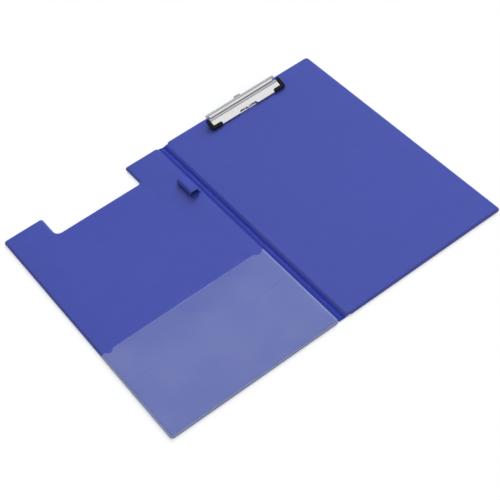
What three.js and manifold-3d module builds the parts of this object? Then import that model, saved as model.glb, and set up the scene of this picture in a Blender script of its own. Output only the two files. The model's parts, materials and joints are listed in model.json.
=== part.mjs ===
// A4 clipboard folder, lying open: a clipboard on the right, a folding cover on the left, a spine between.
// Millimetres. +X runs across the page to the right, +Y up the page, +Z up off the table.
// While it is modelled, X is zero on the spine's middle line, Y at the lower edges and Z on the table.

import * as THREE from "three";
import { mergeVertices } from "three/addons/utils/BufferGeometryUtils.js";
import Module from "manifold-3d";

const wasm = await Module();
wasm.setup();

// Panels: a stiff core between an outer and an inner plastic skin, welded round the rim
const panelWidth = 226;
const panelHeight = 361;
const panelCornerRadius = 4;
const coreThickness = 1.9;
const skinThickness = 0.35;
const layerGap = 0.05;
const rimWidth = 1.4;
const edgeRun = 1.3;

// Spine: a narrow stiffened strip between two folds
const spineWidth = 14;
const stripWidth = 6;
const stripCoreThickness = 1.1;
const stripCornerRadius = 1.5;
const stripRimWidth = 0.4;
const stripEdgeRun = 0.7;
const stripTopSetback = 3.5;
const stripBottomSetback = 0.5;
const foldThickness = 0.6;
const foldLift = 0.1;
const foldClearance = 0.3;
const foldTopSetback = 2.5;
const foldBottomSetback = 0.7;

// Notch in the cover's top edge, which clears the clip when the folder is shut
const notchWidth = 122.5;
const notchDepth = 35.5;
const notchShiftToSpine = 2.2;
const notchMouthRadius = 3.2;
const notchOuterCornerRadius = 8;
const notchInnerCornerRadius = 3;

// Clear pocket welded over the lower part of the cover, open along its top edge
const pocketHeight = 138.6;
const pocketFilmThickness = 0.2;
const pocketFilmGap = 0.1;
const pocketRimSetback = 0.3;
const scoopWidth = 10;
const scoopDepth = 3.7;
const scoopFromOuterEdge = 10.5;
const scoopFromSpineEdge = 8.5;

// Pen loop: a plastic band welded beside the spine
const loopLength = 30;
const loopCentreHeight = 277;
const loopWidth = 12;
const loopHeight = 7.4;
const loopWall = 0.7;
const loopTopRadius = 3.6;
const loopFootRadius = 2.2;
const loopTabWidth = 2.6;
const loopTabThickness = 1.1;
const loopTabRadius = 0.3;
const loopFromSpineEdge = 1.8;

// Clip: a base plate with ears, a sprung jaw on a pin, and plastic grips on the jaw's front corners
const clipShift = -0.5;
const pinSetback = 10.7;
const pinHeight = 3.6;
const pinRadius = 1.2;
const pinHeadRadius = 1.7;
const pinHeadThickness = 0.7;
const pinClearance = 0.12;
const basePlateThickness = 0.8;
const basePlateHalfWidth = 49;
const basePlateBackReach = 5.6;
const basePlateShoulder = -9.2;
const tongueHalfWidth = 40;
const tongueFrontReach = 14.6;
const basePlateCornerRadius = 1.2;
const earThickness = 1;
const earRadius = 2;
const earClearance = 0.4;
const jawThickness = 0.8;
const jawPlateHalfWidth = 57.2;
const jawCrestHalfWidth = 50;
const jawFlangeHalfWidth = 54;
const jawFrontReach = 15.2;
const jawLipHeight = 1.65;
const jawBendReach = 3.2;
const jawBendHeight = 6.2;
const jawCrestHeight = 6.95;
const jawCrestReach = 0.8;
const jawCrestBackReach = 1;
const jawCrestBackHeight = 6.75;
const jawValleyReach = 3;
const jawValleyHeight = 5.95;
const jawFlangeReach = 4.4;
const jawFlangeHeight = 6.7;
const jawTipReach = 5.2;
const jawTipHeight = 7.9;
const jawBeadRadius = 0.65;
const jawShoulderReach = 2.8;
const jawFlangeStart = 3.4;
const jawCornerRadius = 1.5;
const cheekThickness = 0.8;
const cheekRadius = 2.3;
const recessWidth = 29;
const recessDepth = 3.2;
const recessRamp = 2.5;
const nibWidth = 4;
const nibLength = 1.7;

// Plastic grips on the jaw's front corners
const gripArmWidth = 5;
const gripOverhang = 0.9;
const gripFrontArmLength = 16.8;
const gripBackReach = 0.7;
const gripAbovePlate = 1.9;
const gripBelowPlate = 1.5;
const gripOuterRadius = 2.4;
const gripEndRadius = 2.2;
const gripInnerRadius = 0.6;
const gripEdgeRound = 0.5;
const gripSlotClearance = 0.25;
const gripFootGap = 0.3;

// Torsion springs, wound round the pin
const springWireRadius = 0.4;
const springCoilRadius = 1.85;
const springPitch = 1.35;
const springWholeTurns = 5;
const springCentreOffset = 24;
const springBaseLegReach = 5.2;
const springBaseLegHeight = 1.4;
const springFlangeLegReach = 3.9;
const springFlangeLegHeight = 4.6;

// Hanging tab, which slides out from under the clip
const tabWidth = 10;
const tabThickness = 0.8;
const tabGap = 0.15;
const tabHeadWidth = 14;
const tabHeadLength = 2.2;
const tabHeadReach = 11.6;
const tabTipReach = 12.4;
const tabLipLength = 2.2;
const tabLipRise = 2.6;
const tabCornerRadius = 2;
const tabHoleRadius = 2.6;
const tabHoleReach = 6.2;
const bridgeThickness = 0.6;
const bridgeLength = 2.2;
const bridgeReach = 4.3;
const bridgeSideClearance = 0.3;

// Rivets through the board, clinched over washers that lie flush in its underside
const rivetOffset = 30;
const rivetReach = -5.3;
const rivetRadius = 1.5;
const rivetHeadRadius = 2.8;
const rivetHeadHeight = 0.9;
const rivetHoleRadius = 1.7;
const rivetTailLift = 0.08;
const washerRadius = 3.4;
const washerPocketRadius = 3.7;
const washerLift = 0.03;

// Smoothness of curves, and the overrun of every cut
const cornerSteps = 5;
const edgeSteps = 4;
const circleSteps = 24;
const curveSteps = 30;
const wireSides = 5;
const wireStepsPerTurn = 8;
const overrun = 2;

// Heights of the layers above the table
const coreBottom = skinThickness + layerGap;
const coreTop = coreBottom + coreThickness;
const panelThickness = coreTop + layerGap + skinThickness;
const rimTop = coreBottom + skinThickness;
const stripCoreTop = coreBottom + stripCoreThickness;
const stripThickness = stripCoreTop + layerGap + skinThickness;

// Places across the page
const spineEdge = spineWidth / 2;
const outerEdge = spineEdge + panelWidth;
const stripEdge = stripWidth / 2;
const clipCentre = spineEdge + panelWidth / 2 + clipShift;
const notchCentre = -(spineEdge + panelWidth / 2) + notchShiftToSpine;
const pinLine = panelHeight - pinSetback;
const earInnerHalfSpan = jawCrestHalfWidth + earClearance;
const earHalfSpan = earInnerHalfSpan + earThickness;

const blueSkin = { color: 0x4d5aa9, roughness: 0.45, metalness: 0 };
const greyBoard = { color: 0x8d8a84, roughness: 0.9, metalness: 0 };
const clearFilm = { color: 0xaab4dd, roughness: 0.15, metalness: 0, transparent: true, opacity: 0.35 };
const platedSteel = { color: 0xc9c8c6, roughness: 0.2, metalness: 1 };
const springSteel = { color: 0x8f8d8a, roughness: 0.3, metalness: 1 };
const blackPlastic = { color: 0x1c1c1e, roughness: 0.5, metalness: 0 };

function piece(name, geometry, finish) {
  const mesh = new THREE.Mesh(geometry, new THREE.MeshStandardMaterial(finish));
  mesh.name = name;
  return mesh;
}

function group(...members) {
  const made = new THREE.Group();
  made.add(...members);
  return made;
}

function toSolid(geometry) {
  const bare = geometry.clone();
  bare.deleteAttribute("normal");
  bare.deleteAttribute("uv");
  const merged = mergeVertices(bare);
  const mesh = new wasm.Mesh({
    numProp: 3,
    vertProperties: merged.attributes.position.array,
    triVerts: new Uint32Array(merged.index.array),
  });
  return new wasm.Manifold(mesh);
}

function toGeometry(solid) {
  const mesh = solid.getMesh();
  const geometry = new THREE.BufferGeometry();
  geometry.setAttribute("position", new THREE.BufferAttribute(mesh.vertProperties, 3));
  geometry.setIndex(new THREE.BufferAttribute(mesh.triVerts, 1));
  geometry.computeVertexNormals();
  return geometry;
}

function joined(geometries) {
  return toGeometry(geometries.map(toSolid).reduce((whole, next) => whole.add(next)));
}

function cut(geometry, tools) {
  return toGeometry(tools.map(toSolid).reduce((left, tool) => left.subtract(tool), toSolid(geometry)));
}

// An outline whose corners, given as [x, y, radius], all turn a right angle.
function roundedOutline(corners) {
  const points = [];
  corners.forEach(([x, y, radius], index) => {
    const corner = new THREE.Vector2(x, y);
    const [beforeX, beforeY] = corners[(index + corners.length - 1) % corners.length];
    const [afterX, afterY] = corners[(index + 1) % corners.length];
    const toBefore = new THREE.Vector2(beforeX, beforeY).sub(corner).normalize();
    const toAfter = new THREE.Vector2(afterX, afterY).sub(corner).normalize();
    for (let step = 0; step <= cornerSteps; step += 1) {
      const angle = (Math.PI / 2) * (step / cornerSteps);
      const point = corner.clone();
      point.addScaledVector(toBefore, radius * (1 - Math.sin(angle)));
      point.addScaledVector(toAfter, radius * (1 - Math.cos(angle)));
      points.push(point);
    }
  });
  return points;
}

function roundedRectangle(left, bottom, right, top, radius) {
  return roundedOutline([
    [left, bottom, radius],
    [right, bottom, radius],
    [right, top, radius],
    [left, top, radius],
  ]);
}

// A closed skin drawn through rings of as many points each, from the underside's ring to the top's.
function loft(rings) {
  const count = rings[0].points.length;
  const positions = rings.flatMap(({ points, height }) => points.flatMap(({ x, y }) => [x, y, height]));
  const faces = [];
  THREE.ShapeUtils.triangulateShape(rings[0].points, []).forEach(([a, b, c]) => faces.push(a, c, b));
  for (let ring = 0; ring < rings.length - 1; ring += 1) {
    for (let index = 0; index < count; index += 1) {
      const next = (index + 1) % count;
      const low = ring * count;
      const high = low + count;
      faces.push(low + index, low + next, high + next);
      faces.push(low + index, high + next, high + index);
    }
  }
  const last = (rings.length - 1) * count;
  THREE.ShapeUtils.triangulateShape(rings.at(-1).points, []).forEach(([a, b, c]) => {
    faces.push(last + a, last + b, last + c);
  });
  const geometry = new THREE.BufferGeometry();
  geometry.setAttribute("position", new THREE.Float32BufferAttribute(positions, 3));
  geometry.setIndex(faces);
  geometry.computeVertexNormals();
  return geometry;
}

function slab(outlineAt, inset, bottom, top) {
  const points = outlineAt(inset);
  return loft([
    { points, height: bottom },
    { points, height: top },
  ]);
}

// Rings over a panel's rounded edge, from its rim up to its face, standing off it by an offset.
function edgeRings(outlineAt, form, offset) {
  const rings = [];
  for (let step = 0; step <= edgeSteps; step += 1) {
    const angle = (Math.PI / 2) * (step / edgeSteps);
    const inset = form.rim + form.run * (1 - Math.cos(angle)) - offset * Math.cos(angle);
    const height = rimTop + (form.top - rimTop + offset) * Math.sin(angle);
    rings.push({ points: outlineAt(inset), height });
  }
  return rings;
}

// A sheet formed over a panel's core: a raised face, a rounded edge and a flat welded rim.
function formedSkin(outlineAt, form) {
  const inside = edgeRings(outlineAt, form, -skinThickness).reverse();
  const outside = edgeRings(outlineAt, form, 0);
  return loft([
    ...inside,
    { points: outlineAt(form.rim + skinThickness), height: coreBottom },
    { points: outlineAt(0), height: coreBottom },
    { points: outlineAt(0), height: rimTop },
    ...outside,
  ]);
}

// A shape drawn as [along Y, along Z] and extruded along X, centred.
function extrudeAlongX(shape, width) {
  const geometry = new THREE.ExtrudeGeometry(shape, { depth: width, bevelEnabled: false });
  geometry.translate(0, 0, -width / 2);
  const turn = new THREE.Matrix4().makeBasis(
    new THREE.Vector3(0, 1, 0),
    new THREE.Vector3(0, 0, 1),
    new THREE.Vector3(1, 0, 0),
  );
  return geometry.applyMatrix4(turn);
}

// A shape drawn as [along X, along Z] and extruded along Y, centred.
function extrudeAlongY(shape, length) {
  const geometry = new THREE.ExtrudeGeometry(shape, { depth: length, bevelEnabled: false });
  geometry.translate(0, 0, -length / 2);
  return geometry.rotateX(Math.PI / 2);
}

function extrudeUp(points, bottom, top) {
  const geometry = new THREE.ExtrudeGeometry(new THREE.Shape(points), {
    depth: top - bottom,
    bevelEnabled: false,
  });
  return geometry.translate(0, 0, bottom);
}

function circlePoints(x, y, radius) {
  return Array.from({ length: circleSteps }, (_, index) => {
    const angle = (2 * Math.PI * index) / circleSteps;
    return new THREE.Vector2(x + radius * Math.cos(angle), y + radius * Math.sin(angle));
  });
}

function post(x, y, radius, bottom, top) {
  return extrudeUp(circlePoints(x, y, radius), bottom, top);
}

// A plate with a round head over a pin: straight sides down from the head, drawn as [along Y, along Z].
function lugOutline(radius, centreHeight, endHeight) {
  const points = [new THREE.Vector2(-radius, endHeight), new THREE.Vector2(radius, endHeight)];
  const direction = Math.sign(endHeight - centreHeight);
  for (let step = 0; step <= circleSteps / 2; step += 1) {
    const angle = (2 * Math.PI * step) / circleSteps;
    points.push(
      new THREE.Vector2(radius * Math.cos(angle), centreHeight - direction * radius * Math.sin(angle)),
    );
  }
  return points;
}

function lug(radius, endHeight, thickness) {
  const outline = new THREE.Shape(lugOutline(radius, pinHeight, endHeight));
  outline.holes.push(new THREE.Path(circlePoints(0, pinHeight, pinRadius + pinClearance)));
  return extrudeAlongX(outline, thickness);
}

// Outlines of the flat pieces, each drawn in from its edge by an inset
function boardOutline(inset) {
  return roundedRectangle(
    spineEdge + inset,
    inset,
    outerEdge - inset,
    panelHeight - inset,
    panelCornerRadius - inset,
  );
}

function plainCoverOutline(inset) {
  return roundedRectangle(
    -outerEdge + inset,
    inset,
    -spineEdge - inset,
    panelHeight - inset,
    panelCornerRadius - inset,
  );
}

function coverOutline(inset) {
  const left = -outerEdge + inset;
  const right = -spineEdge - inset;
  const bottom = inset;
  const top = panelHeight - inset;
  const notchLeft = notchCentre - notchWidth / 2 - inset;
  const notchRight = notchCentre + notchWidth / 2 + inset;
  const notchBottom = panelHeight - notchDepth - inset;
  return roundedOutline([
    [left, bottom, panelCornerRadius - inset],
    [right, bottom, panelCornerRadius - inset],
    [right, top, panelCornerRadius - inset],
    [notchRight, top, notchMouthRadius - inset],
    [notchRight, notchBottom, notchInnerCornerRadius + inset],
    [notchLeft, notchBottom, notchOuterCornerRadius + inset],
    [notchLeft, top, notchMouthRadius - inset],
    [left, top, panelCornerRadius - inset],
  ]);
}

function stripOutline(inset) {
  return roundedRectangle(
    -stripEdge + inset,
    stripBottomSetback + inset,
    stripEdge - inset,
    panelHeight - stripTopSetback - inset,
    stripCornerRadius - inset,
  );
}

const panelForm = { rim: rimWidth, run: edgeRun, top: panelThickness };
const stripForm = { rim: stripRimWidth, run: stripEdgeRun, top: stripThickness };
const coreInset = rimWidth + edgeRun + layerGap;
const stripCoreInset = stripRimWidth + stripEdgeRun + layerGap;

const rivetPlaces = [-rivetOffset, rivetOffset].map((offset) => [clipCentre + offset, pinLine + rivetReach]);

function rivetHoles(radius) {
  return rivetPlaces.map(([x, y]) => post(x, y, radius, -overrun, panelThickness + overrun));
}

function boardHalf() {
  const core = cut(slab(boardOutline, coreInset, coreBottom, coreTop), rivetHoles(rivetHoleRadius));
  const outer = cut(slab(boardOutline, 0, 0, skinThickness), rivetHoles(washerPocketRadius));
  const inner = cut(formedSkin(boardOutline, panelForm), rivetHoles(rivetHoleRadius));
  return group(
    piece("board_core", core, greyBoard),
    piece("board_outer_skin", outer, blueSkin),
    piece("board_inner_skin", inner, blueSkin),
  );
}

function spine() {
  return group(
    piece("spine_core", slab(stripOutline, stripCoreInset, coreBottom, stripCoreTop), greyBoard),
    piece("spine_outer_skin", slab(stripOutline, 0, 0, skinThickness), blueSkin),
    piece("spine_inner_skin", formedSkin(stripOutline, stripForm), blueSkin),
  );
}

function fold(name, left, right) {
  const points = roundedRectangle(
    left + foldClearance,
    foldBottomSetback,
    right - foldClearance,
    panelHeight - foldTopSetback,
    foldThickness,
  );
  return piece(name, extrudeUp(points, foldLift, foldLift + foldThickness), blueSkin);
}

// The pocket film follows the cover's face, rounded edge and rim, and stops at the mouth.
function pocketFilm() {
  const insideRings = edgeRings(plainCoverOutline, panelForm, pocketFilmGap).reverse();
  const outsideRings = edgeRings(plainCoverOutline, panelForm, pocketFilmGap + pocketFilmThickness);
  const rimBottom = rimTop + pocketFilmGap;
  const rimUpper = rimBottom + pocketFilmThickness;
  const rimOutline = plainCoverOutline(pocketRimSetback);
  const lid = loft([
    ...insideRings.slice(0, -1),
    { points: plainCoverOutline(rimWidth - pocketFilmGap), height: rimBottom },
    { points: rimOutline, height: rimBottom },
    { points: rimOutline, height: rimUpper },
    { points: plainCoverOutline(rimWidth - pocketFilmGap - pocketFilmThickness), height: rimUpper },
    ...outsideRings.slice(1),
  ]);
  const region = extrudeUp(mouthOutline(), -overrun, panelThickness + overrun);
  return toGeometry(toSolid(lid).intersect(toSolid(region)));
}

// The area that the pocket covers, with a shallow scoop near each end of its mouth.
function mouthOutline() {
  const points = [
    new THREE.Vector2(-outerEdge - overrun, -overrun),
    new THREE.Vector2(-spineEdge + overrun, -overrun),
    new THREE.Vector2(-spineEdge + overrun, pocketHeight),
  ];
  [-spineEdge - scoopFromSpineEdge, -outerEdge + scoopFromOuterEdge].forEach((centre) => {
    for (let step = 0; step <= 2 * cornerSteps; step += 1) {
      const share = step / (2 * cornerSteps);
      const dip = scoopDepth * Math.sin(Math.PI * share);
      points.push(new THREE.Vector2(centre + scoopWidth * (1 / 2 - share), pocketHeight - dip));
    }
  });
  points.push(new THREE.Vector2(-outerEdge - overrun, pocketHeight));
  return points;
}

// The loop's section stands on the cover's face, with its welded tab towards the spine.
function penLoop() {
  const tabEnd = -spineEdge - loopFromSpineEdge;
  const right = tabEnd - loopTabWidth;
  const left = right - loopWidth;
  const foot = panelThickness + layerGap;
  const top = foot + loopHeight;
  const tabTop = foot + loopTabThickness;
  const section = new THREE.Shape(
    roundedOutline([
      [left, foot, loopFootRadius],
      [tabEnd, foot, loopTabRadius],
      [tabEnd, tabTop, loopTabRadius],
      [right, tabTop, loopTabRadius],
      [right, top, loopTopRadius],
      [left, top, loopTopRadius],
    ]),
  );
  const bore = roundedOutline([
    [left + loopWall, foot + loopWall, loopFootRadius - loopWall],
    [right - loopWall, foot + loopWall, loopFootRadius - loopWall],
    [right - loopWall, top - loopWall, loopTopRadius - loopWall],
    [left + loopWall, top - loopWall, loopTopRadius - loopWall],
  ]);
  section.holes.push(new THREE.Path(bore));
  return extrudeAlongY(section, loopLength).translate(0, loopCentreHeight, 0);
}

function coverHalf() {
  return group(
    piece("cover_core", slab(coverOutline, coreInset, coreBottom, coreTop), greyBoard),
    piece("cover_outer_skin", slab(coverOutline, 0, 0, skinThickness), blueSkin),
    piece("cover_inner_skin", formedSkin(coverOutline, panelForm), blueSkin),
    piece("pocket_film", pocketFilm(), clearFilm),
    piece("pen_loop", penLoop(), blueSkin),
  );
}

// The clip is drawn about its pin: Y is zero on the pin, Z on the board's face.
const basePlateTop = layerGap + basePlateThickness;
const tabBottom = basePlateTop + tabGap;
const tabTop = tabBottom + tabThickness;

function bridge() {
  const innerHalf = tabWidth / 2 + bridgeSideClearance;
  const outerHalf = innerHalf + bridgeThickness;
  const ceiling = tabTop + tabGap;
  const section = new THREE.Shape([
    new THREE.Vector2(-outerHalf, layerGap),
    new THREE.Vector2(-innerHalf, layerGap),
    new THREE.Vector2(-innerHalf, ceiling),
    new THREE.Vector2(innerHalf, ceiling),
    new THREE.Vector2(innerHalf, layerGap),
    new THREE.Vector2(outerHalf, layerGap),
    new THREE.Vector2(outerHalf, ceiling + bridgeThickness),
    new THREE.Vector2(-outerHalf, ceiling + bridgeThickness),
  ]);
  return extrudeAlongY(section, bridgeLength).translate(0, bridgeReach, 0);
}

function basePlate() {
  const tongue = roundedRectangle(
    -tongueHalfWidth,
    -tongueFrontReach,
    tongueHalfWidth,
    basePlateBackReach,
    basePlateCornerRadius,
  );
  const middle = roundedRectangle(
    -basePlateHalfWidth,
    basePlateShoulder,
    basePlateHalfWidth,
    basePlateBackReach,
    basePlateCornerRadius,
  );
  const cross = [
    new THREE.Vector2(-earHalfSpan, -earRadius),
    new THREE.Vector2(earHalfSpan, -earRadius),
    new THREE.Vector2(earHalfSpan, earRadius),
    new THREE.Vector2(-earHalfSpan, earRadius),
  ];
  const plates = [tongue, middle, cross].map((points) => extrudeUp(points, layerGap, basePlateTop));
  const ears = [-1, 1].map((side) =>
    lug(earRadius, layerGap, earThickness).translate(side * (earInnerHalfSpan + earThickness / 2), 0, 0),
  );
  const holes = [-rivetOffset, rivetOffset].map((offset) =>
    post(offset, rivetReach, rivetHoleRadius, -overrun, basePlateTop + overrun),
  );
  return cut(joined([...plates, ...ears, bridge()]), holes);
}

// The jaw's middle line from its lip up the flat plate, over the crest, down the valley and up the flange.
function jawMiddleLine() {
  const flat = new THREE.LineCurve(
    new THREE.Vector2(-jawFrontReach, jawLipHeight),
    new THREE.Vector2(-jawBendReach, jawBendHeight),
  );
  const bent = new THREE.SplineCurve([
    new THREE.Vector2(-jawBendReach, jawBendHeight),
    new THREE.Vector2(-jawCrestReach, jawCrestHeight),
    new THREE.Vector2(jawCrestBackReach, jawCrestBackHeight),
    new THREE.Vector2(jawValleyReach, jawValleyHeight),
    new THREE.Vector2(jawFlangeReach, jawFlangeHeight),
    new THREE.Vector2(jawTipReach, jawTipHeight),
  ]);
  return [...flat.getPoints(1).slice(0, 1), ...bent.getPoints(curveSteps)];
}

function thickened(line, thickness) {
  const sides = [1, -1].map((side) =>
    line.map((point, index) => {
      const before = line[Math.max(index - 1, 0)];
      const after = line[Math.min(index + 1, line.length - 1)];
      const along = after.clone().sub(before).normalize();
      const normal = new THREE.Vector2(along.y, -along.x);
      return point.clone().addScaledVector(normal, (side * thickness) / 2);
    }),
  );
  return new THREE.Shape([...sides[0], ...sides[1].reverse()]);
}

// The shallow recess in the jaw's front edge, with a small nib left in its middle.
function recess() {
  const front = -jawFrontReach - overrun;
  const back = -jawFrontReach + recessDepth;
  const nibFront = back - nibLength;
  const half = recessWidth / 2;
  const nibHalf = nibWidth / 2;
  const nibRamp = nibHalf / 2;
  const points = [
    new THREE.Vector2(-half, front),
    new THREE.Vector2(half, front),
    new THREE.Vector2(half, -jawFrontReach),
    new THREE.Vector2(half - recessRamp, back),
    new THREE.Vector2(nibHalf, back),
    new THREE.Vector2(nibHalf - nibRamp, nibFront),
    new THREE.Vector2(nibRamp - nibHalf, nibFront),
    new THREE.Vector2(-nibHalf, back),
    new THREE.Vector2(recessRamp - half, back),
    new THREE.Vector2(-half, -jawFrontReach),
  ];
  return extrudeUp(points, -overrun, jawBendHeight);
}

function jaw() {
  const sheet = extrudeAlongX(thickened(jawMiddleLine(), jawThickness), 2 * jawPlateHalfWidth);
  const wide = roundedRectangle(
    -jawPlateHalfWidth,
    -jawFrontReach,
    jawPlateHalfWidth,
    -jawShoulderReach,
    jawCornerRadius,
  );
  const crest = roundedRectangle(
    -jawCrestHalfWidth,
    -jawFrontReach,
    jawCrestHalfWidth,
    jawTipReach,
    jawBeadRadius,
  );
  const flange = roundedRectangle(
    -jawFlangeHalfWidth,
    jawFlangeStart,
    jawFlangeHalfWidth,
    jawTipReach + overrun,
    jawBeadRadius,
  );
  const sheetTop = jawTipHeight + jawThickness;
  const plan = joined([wide, crest, flange].map((points) => extrudeUp(points, 0, sheetTop)));
  const trimmed = toSolid(sheet).intersect(toSolid(plan)).subtract(toSolid(recess()));
  const beadShape = new THREE.Shape(circlePoints(jawTipReach, jawTipHeight, jawBeadRadius));
  const bead = extrudeAlongX(beadShape, 2 * jawFlangeHalfWidth);
  const cheeks = [-1, 1].map((side) =>
    lug(cheekRadius, jawBendHeight, cheekThickness).translate(
      side * (jawCrestHalfWidth - cheekThickness / 2),
      0,
      0,
    ),
  );
  return joined([toGeometry(trimmed), bead, ...cheeks]);
}

function pivotPin() {
  const halfLength = earHalfSpan + pinClearance;
  const headEnd = halfLength + pinHeadThickness;
  const profile = [
    [0, -headEnd],
    [pinHeadRadius, -headEnd],
    [pinHeadRadius, -halfLength],
    [pinRadius, -halfLength],
    [pinRadius, halfLength],
    [pinHeadRadius, halfLength],
    [pinHeadRadius, headEnd],
    [0, headEnd],
  ].map(([radius, along]) => new THREE.Vector2(radius, along));
  const geometry = new THREE.LatheGeometry(profile, circleSteps);
  return geometry.rotateZ(-Math.PI / 2).translate(0, 0, pinHeight);
}

// An L-shaped grip for the right corner: it wraps the plate's edges and is flat where it presses down.
function cornerGrip(side) {
  const slope = Math.atan2(jawBendHeight - jawLipHeight, jawFrontReach - jawBendReach);
  const outer = jawPlateHalfWidth + gripOverhang;
  const armLength = (jawFrontReach - gripBackReach) / Math.cos(slope);
  const slotEnd = (jawFrontReach - jawShoulderReach) / Math.cos(slope) + gripFootGap;
  const outline = roundedOutline([
    [outer - gripFrontArmLength, -gripOverhang, gripEndRadius],
    [outer, -gripOverhang, gripOuterRadius],
    [outer, armLength, gripEndRadius],
    [outer - gripArmWidth, armLength, gripEndRadius],
    [outer - gripArmWidth, gripArmWidth - gripOverhang, gripInnerRadius],
    [outer - gripFrontArmLength, gripArmWidth - gripOverhang, gripEndRadius],
  ]);
  const roundedEdge = new THREE.ExtrudeGeometry(new THREE.Shape(outline), {
    depth: gripAbovePlate + gripBelowPlate - 2 * gripEdgeRound,
    bevelEnabled: true,
    bevelThickness: gripEdgeRound,
    bevelSize: gripEdgeRound,
    bevelOffset: -gripEdgeRound,
    bevelSegments: 2,
  }).translate(0, 0, gripEdgeRound - gripBelowPlate);
  const slotHalf = jawThickness / 2 + gripSlotClearance;
  const slotRight = jawPlateHalfWidth + gripSlotClearance;
  const slot = extrudeUp(
    roundedRectangle(0, -gripSlotClearance, slotRight, slotEnd, jawCornerRadius + gripSlotClearance),
    -slotHalf,
    slotHalf,
  );
  const tilted = cut(roundedEdge, [slot]);
  tilted.rotateX(slope).translate(0, -jawFrontReach, jawLipHeight);
  const floor = extrudeUp(
    [
      new THREE.Vector2(0, -jawFrontReach - overrun - gripArmWidth),
      new THREE.Vector2(outer + overrun, -jawFrontReach - overrun - gripArmWidth),
      new THREE.Vector2(outer + overrun, 0),
      new THREE.Vector2(0, 0),
    ],
    -overrun,
    gripFootGap,
  );
  const right = toSolid(cut(tilted, [floor]));
  return toGeometry(side > 0 ? right : right.mirror([1, 0, 0]));
}

// The spring's wire: a leg on the base plate, the coil round the pin, and a leg under the jaw's flange.
function springPath(centre) {
  const halfTurns = 2 * springWholeTurns + 1;
  const steps = (halfTurns * wireStepsPerTurn) / 2;
  const length = (springPitch * halfTurns) / 2;
  const path = [new THREE.Vector3(centre - length / 2, springBaseLegReach, springBaseLegHeight)];
  for (let step = 0; step <= steps; step += 1) {
    const angle = -Math.PI / 2 - (Math.PI * halfTurns * step) / steps;
    path.push(
      new THREE.Vector3(
        centre + length * (step / steps - 1 / 2),
        springCoilRadius * Math.cos(angle),
        pinHeight + springCoilRadius * Math.sin(angle),
      ),
    );
  }
  path.push(new THREE.Vector3(centre + length / 2, springFlangeLegReach, springFlangeLegHeight));
  return path;
}

function wire(path, radius) {
  const rings = path.map((point, index) => {
    const before = path[Math.max(index - 1, 0)];
    const after = path[Math.min(index + 1, path.length - 1)];
    const along = after.clone().sub(before).normalize();
    const across = new THREE.Vector3(1, 0, 0).addScaledVector(along, -along.x).normalize();
    const up = along.clone().cross(across);
    return Array.from({ length: wireSides }, (_, side) => {
      const angle = (2 * Math.PI * side) / wireSides;
      const place = point.clone().addScaledVector(across, radius * Math.cos(angle));
      return place.addScaledVector(up, radius * Math.sin(angle));
    });
  });
  const positions = rings.flat().flatMap(({ x, y, z }) => [x, y, z]);
  const faces = [];
  const last = (rings.length - 1) * wireSides;
  for (let side = 1; side < wireSides - 1; side += 1) {
    faces.push(0, side + 1, side);
    faces.push(last, last + side, last + side + 1);
  }
  for (let ring = 0; ring < rings.length - 1; ring += 1) {
    for (let side = 0; side < wireSides; side += 1) {
      const next = (side + 1) % wireSides;
      const low = ring * wireSides;
      const high = low + wireSides;
      faces.push(low + side, low + next, high + next);
      faces.push(low + side, high + next, high + side);
    }
  }
  const geometry = new THREE.BufferGeometry();
  geometry.setAttribute("position", new THREE.Float32BufferAttribute(positions, 3));
  geometry.setIndex(faces);
  geometry.computeVertexNormals();
  return geometry;
}

// The least clear distance between turns of the wire.
function leastGap(path, radius) {
  let least = Infinity;
  path.forEach((point, index) => {
    path.slice(index + wireStepsPerTurn / 2).forEach((other) => {
      least = Math.min(least, point.distanceTo(other) - 2 * radius);
    });
  });
  return least;
}

function torsionSpring(centre) {
  const path = springPath(centre);
  console.log("torsion spring, least gap between turns: " + leastGap(path, springWireRadius).toFixed(2));
  return wire(path, springWireRadius);
}

// The hanging tab: a strip with a hole, a wide head that stops it, and a lip turned up to pull it by.
function hangingTab() {
  const half = tabWidth / 2;
  const headHalf = tabHeadWidth / 2;
  const lipStart = tabTipReach - tabLipLength;
  const strip = extrudeUp(
    [
      new THREE.Vector2(-half, -tabHeadReach),
      new THREE.Vector2(half, -tabHeadReach),
      new THREE.Vector2(half, lipStart),
      new THREE.Vector2(-half, lipStart),
    ],
    tabBottom,
    tabTop,
  );
  const head = extrudeUp(
    roundedRectangle(-headHalf, -tabHeadReach, headHalf, -tabHeadReach + tabHeadLength, tabThickness),
    tabBottom,
    tabTop,
  );
  const lipLine = new THREE.QuadraticBezierCurve(
    new THREE.Vector2(lipStart, tabBottom + tabThickness / 2),
    new THREE.Vector2(tabTipReach, tabBottom + tabThickness / 2),
    new THREE.Vector2(tabTipReach + tabLipLength / 2, tabBottom + tabLipRise),
  ).getPoints(cornerSteps);
  const bent = extrudeAlongX(thickened(lipLine, tabThickness), tabWidth);
  const plan = roundedRectangle(
    -half,
    lipStart - tabCornerRadius,
    half,
    tabTipReach + tabLipLength / 2 + tabThickness / 2,
    tabCornerRadius,
  );
  const lip = toSolid(bent).intersect(toSolid(extrudeUp(plan, 0, tabTop + tabLipRise)));
  const whole = joined([strip, head, toGeometry(lip)]);
  return cut(whole, [post(0, tabHoleReach, tabHoleRadius, 0, tabTop + overrun)]);
}

function rivet() {
  const headBottom = basePlateTop + layerGap;
  const profile = [
    [0, rivetTailLift - panelThickness],
    [rivetRadius, rivetTailLift - panelThickness],
    [rivetRadius, headBottom],
    [rivetHeadRadius, headBottom],
    [rivetHeadRadius * Math.cos(Math.PI / 6), headBottom + rivetHeadHeight * Math.sin(Math.PI / 6)],
    [rivetHeadRadius * Math.cos(Math.PI / 3), headBottom + rivetHeadHeight * Math.sin(Math.PI / 3)],
    [0, headBottom + rivetHeadHeight],
  ].map(([radius, height]) => new THREE.Vector2(radius, height));
  return new THREE.LatheGeometry(profile, circleSteps).rotateX(Math.PI / 2);
}

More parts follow.
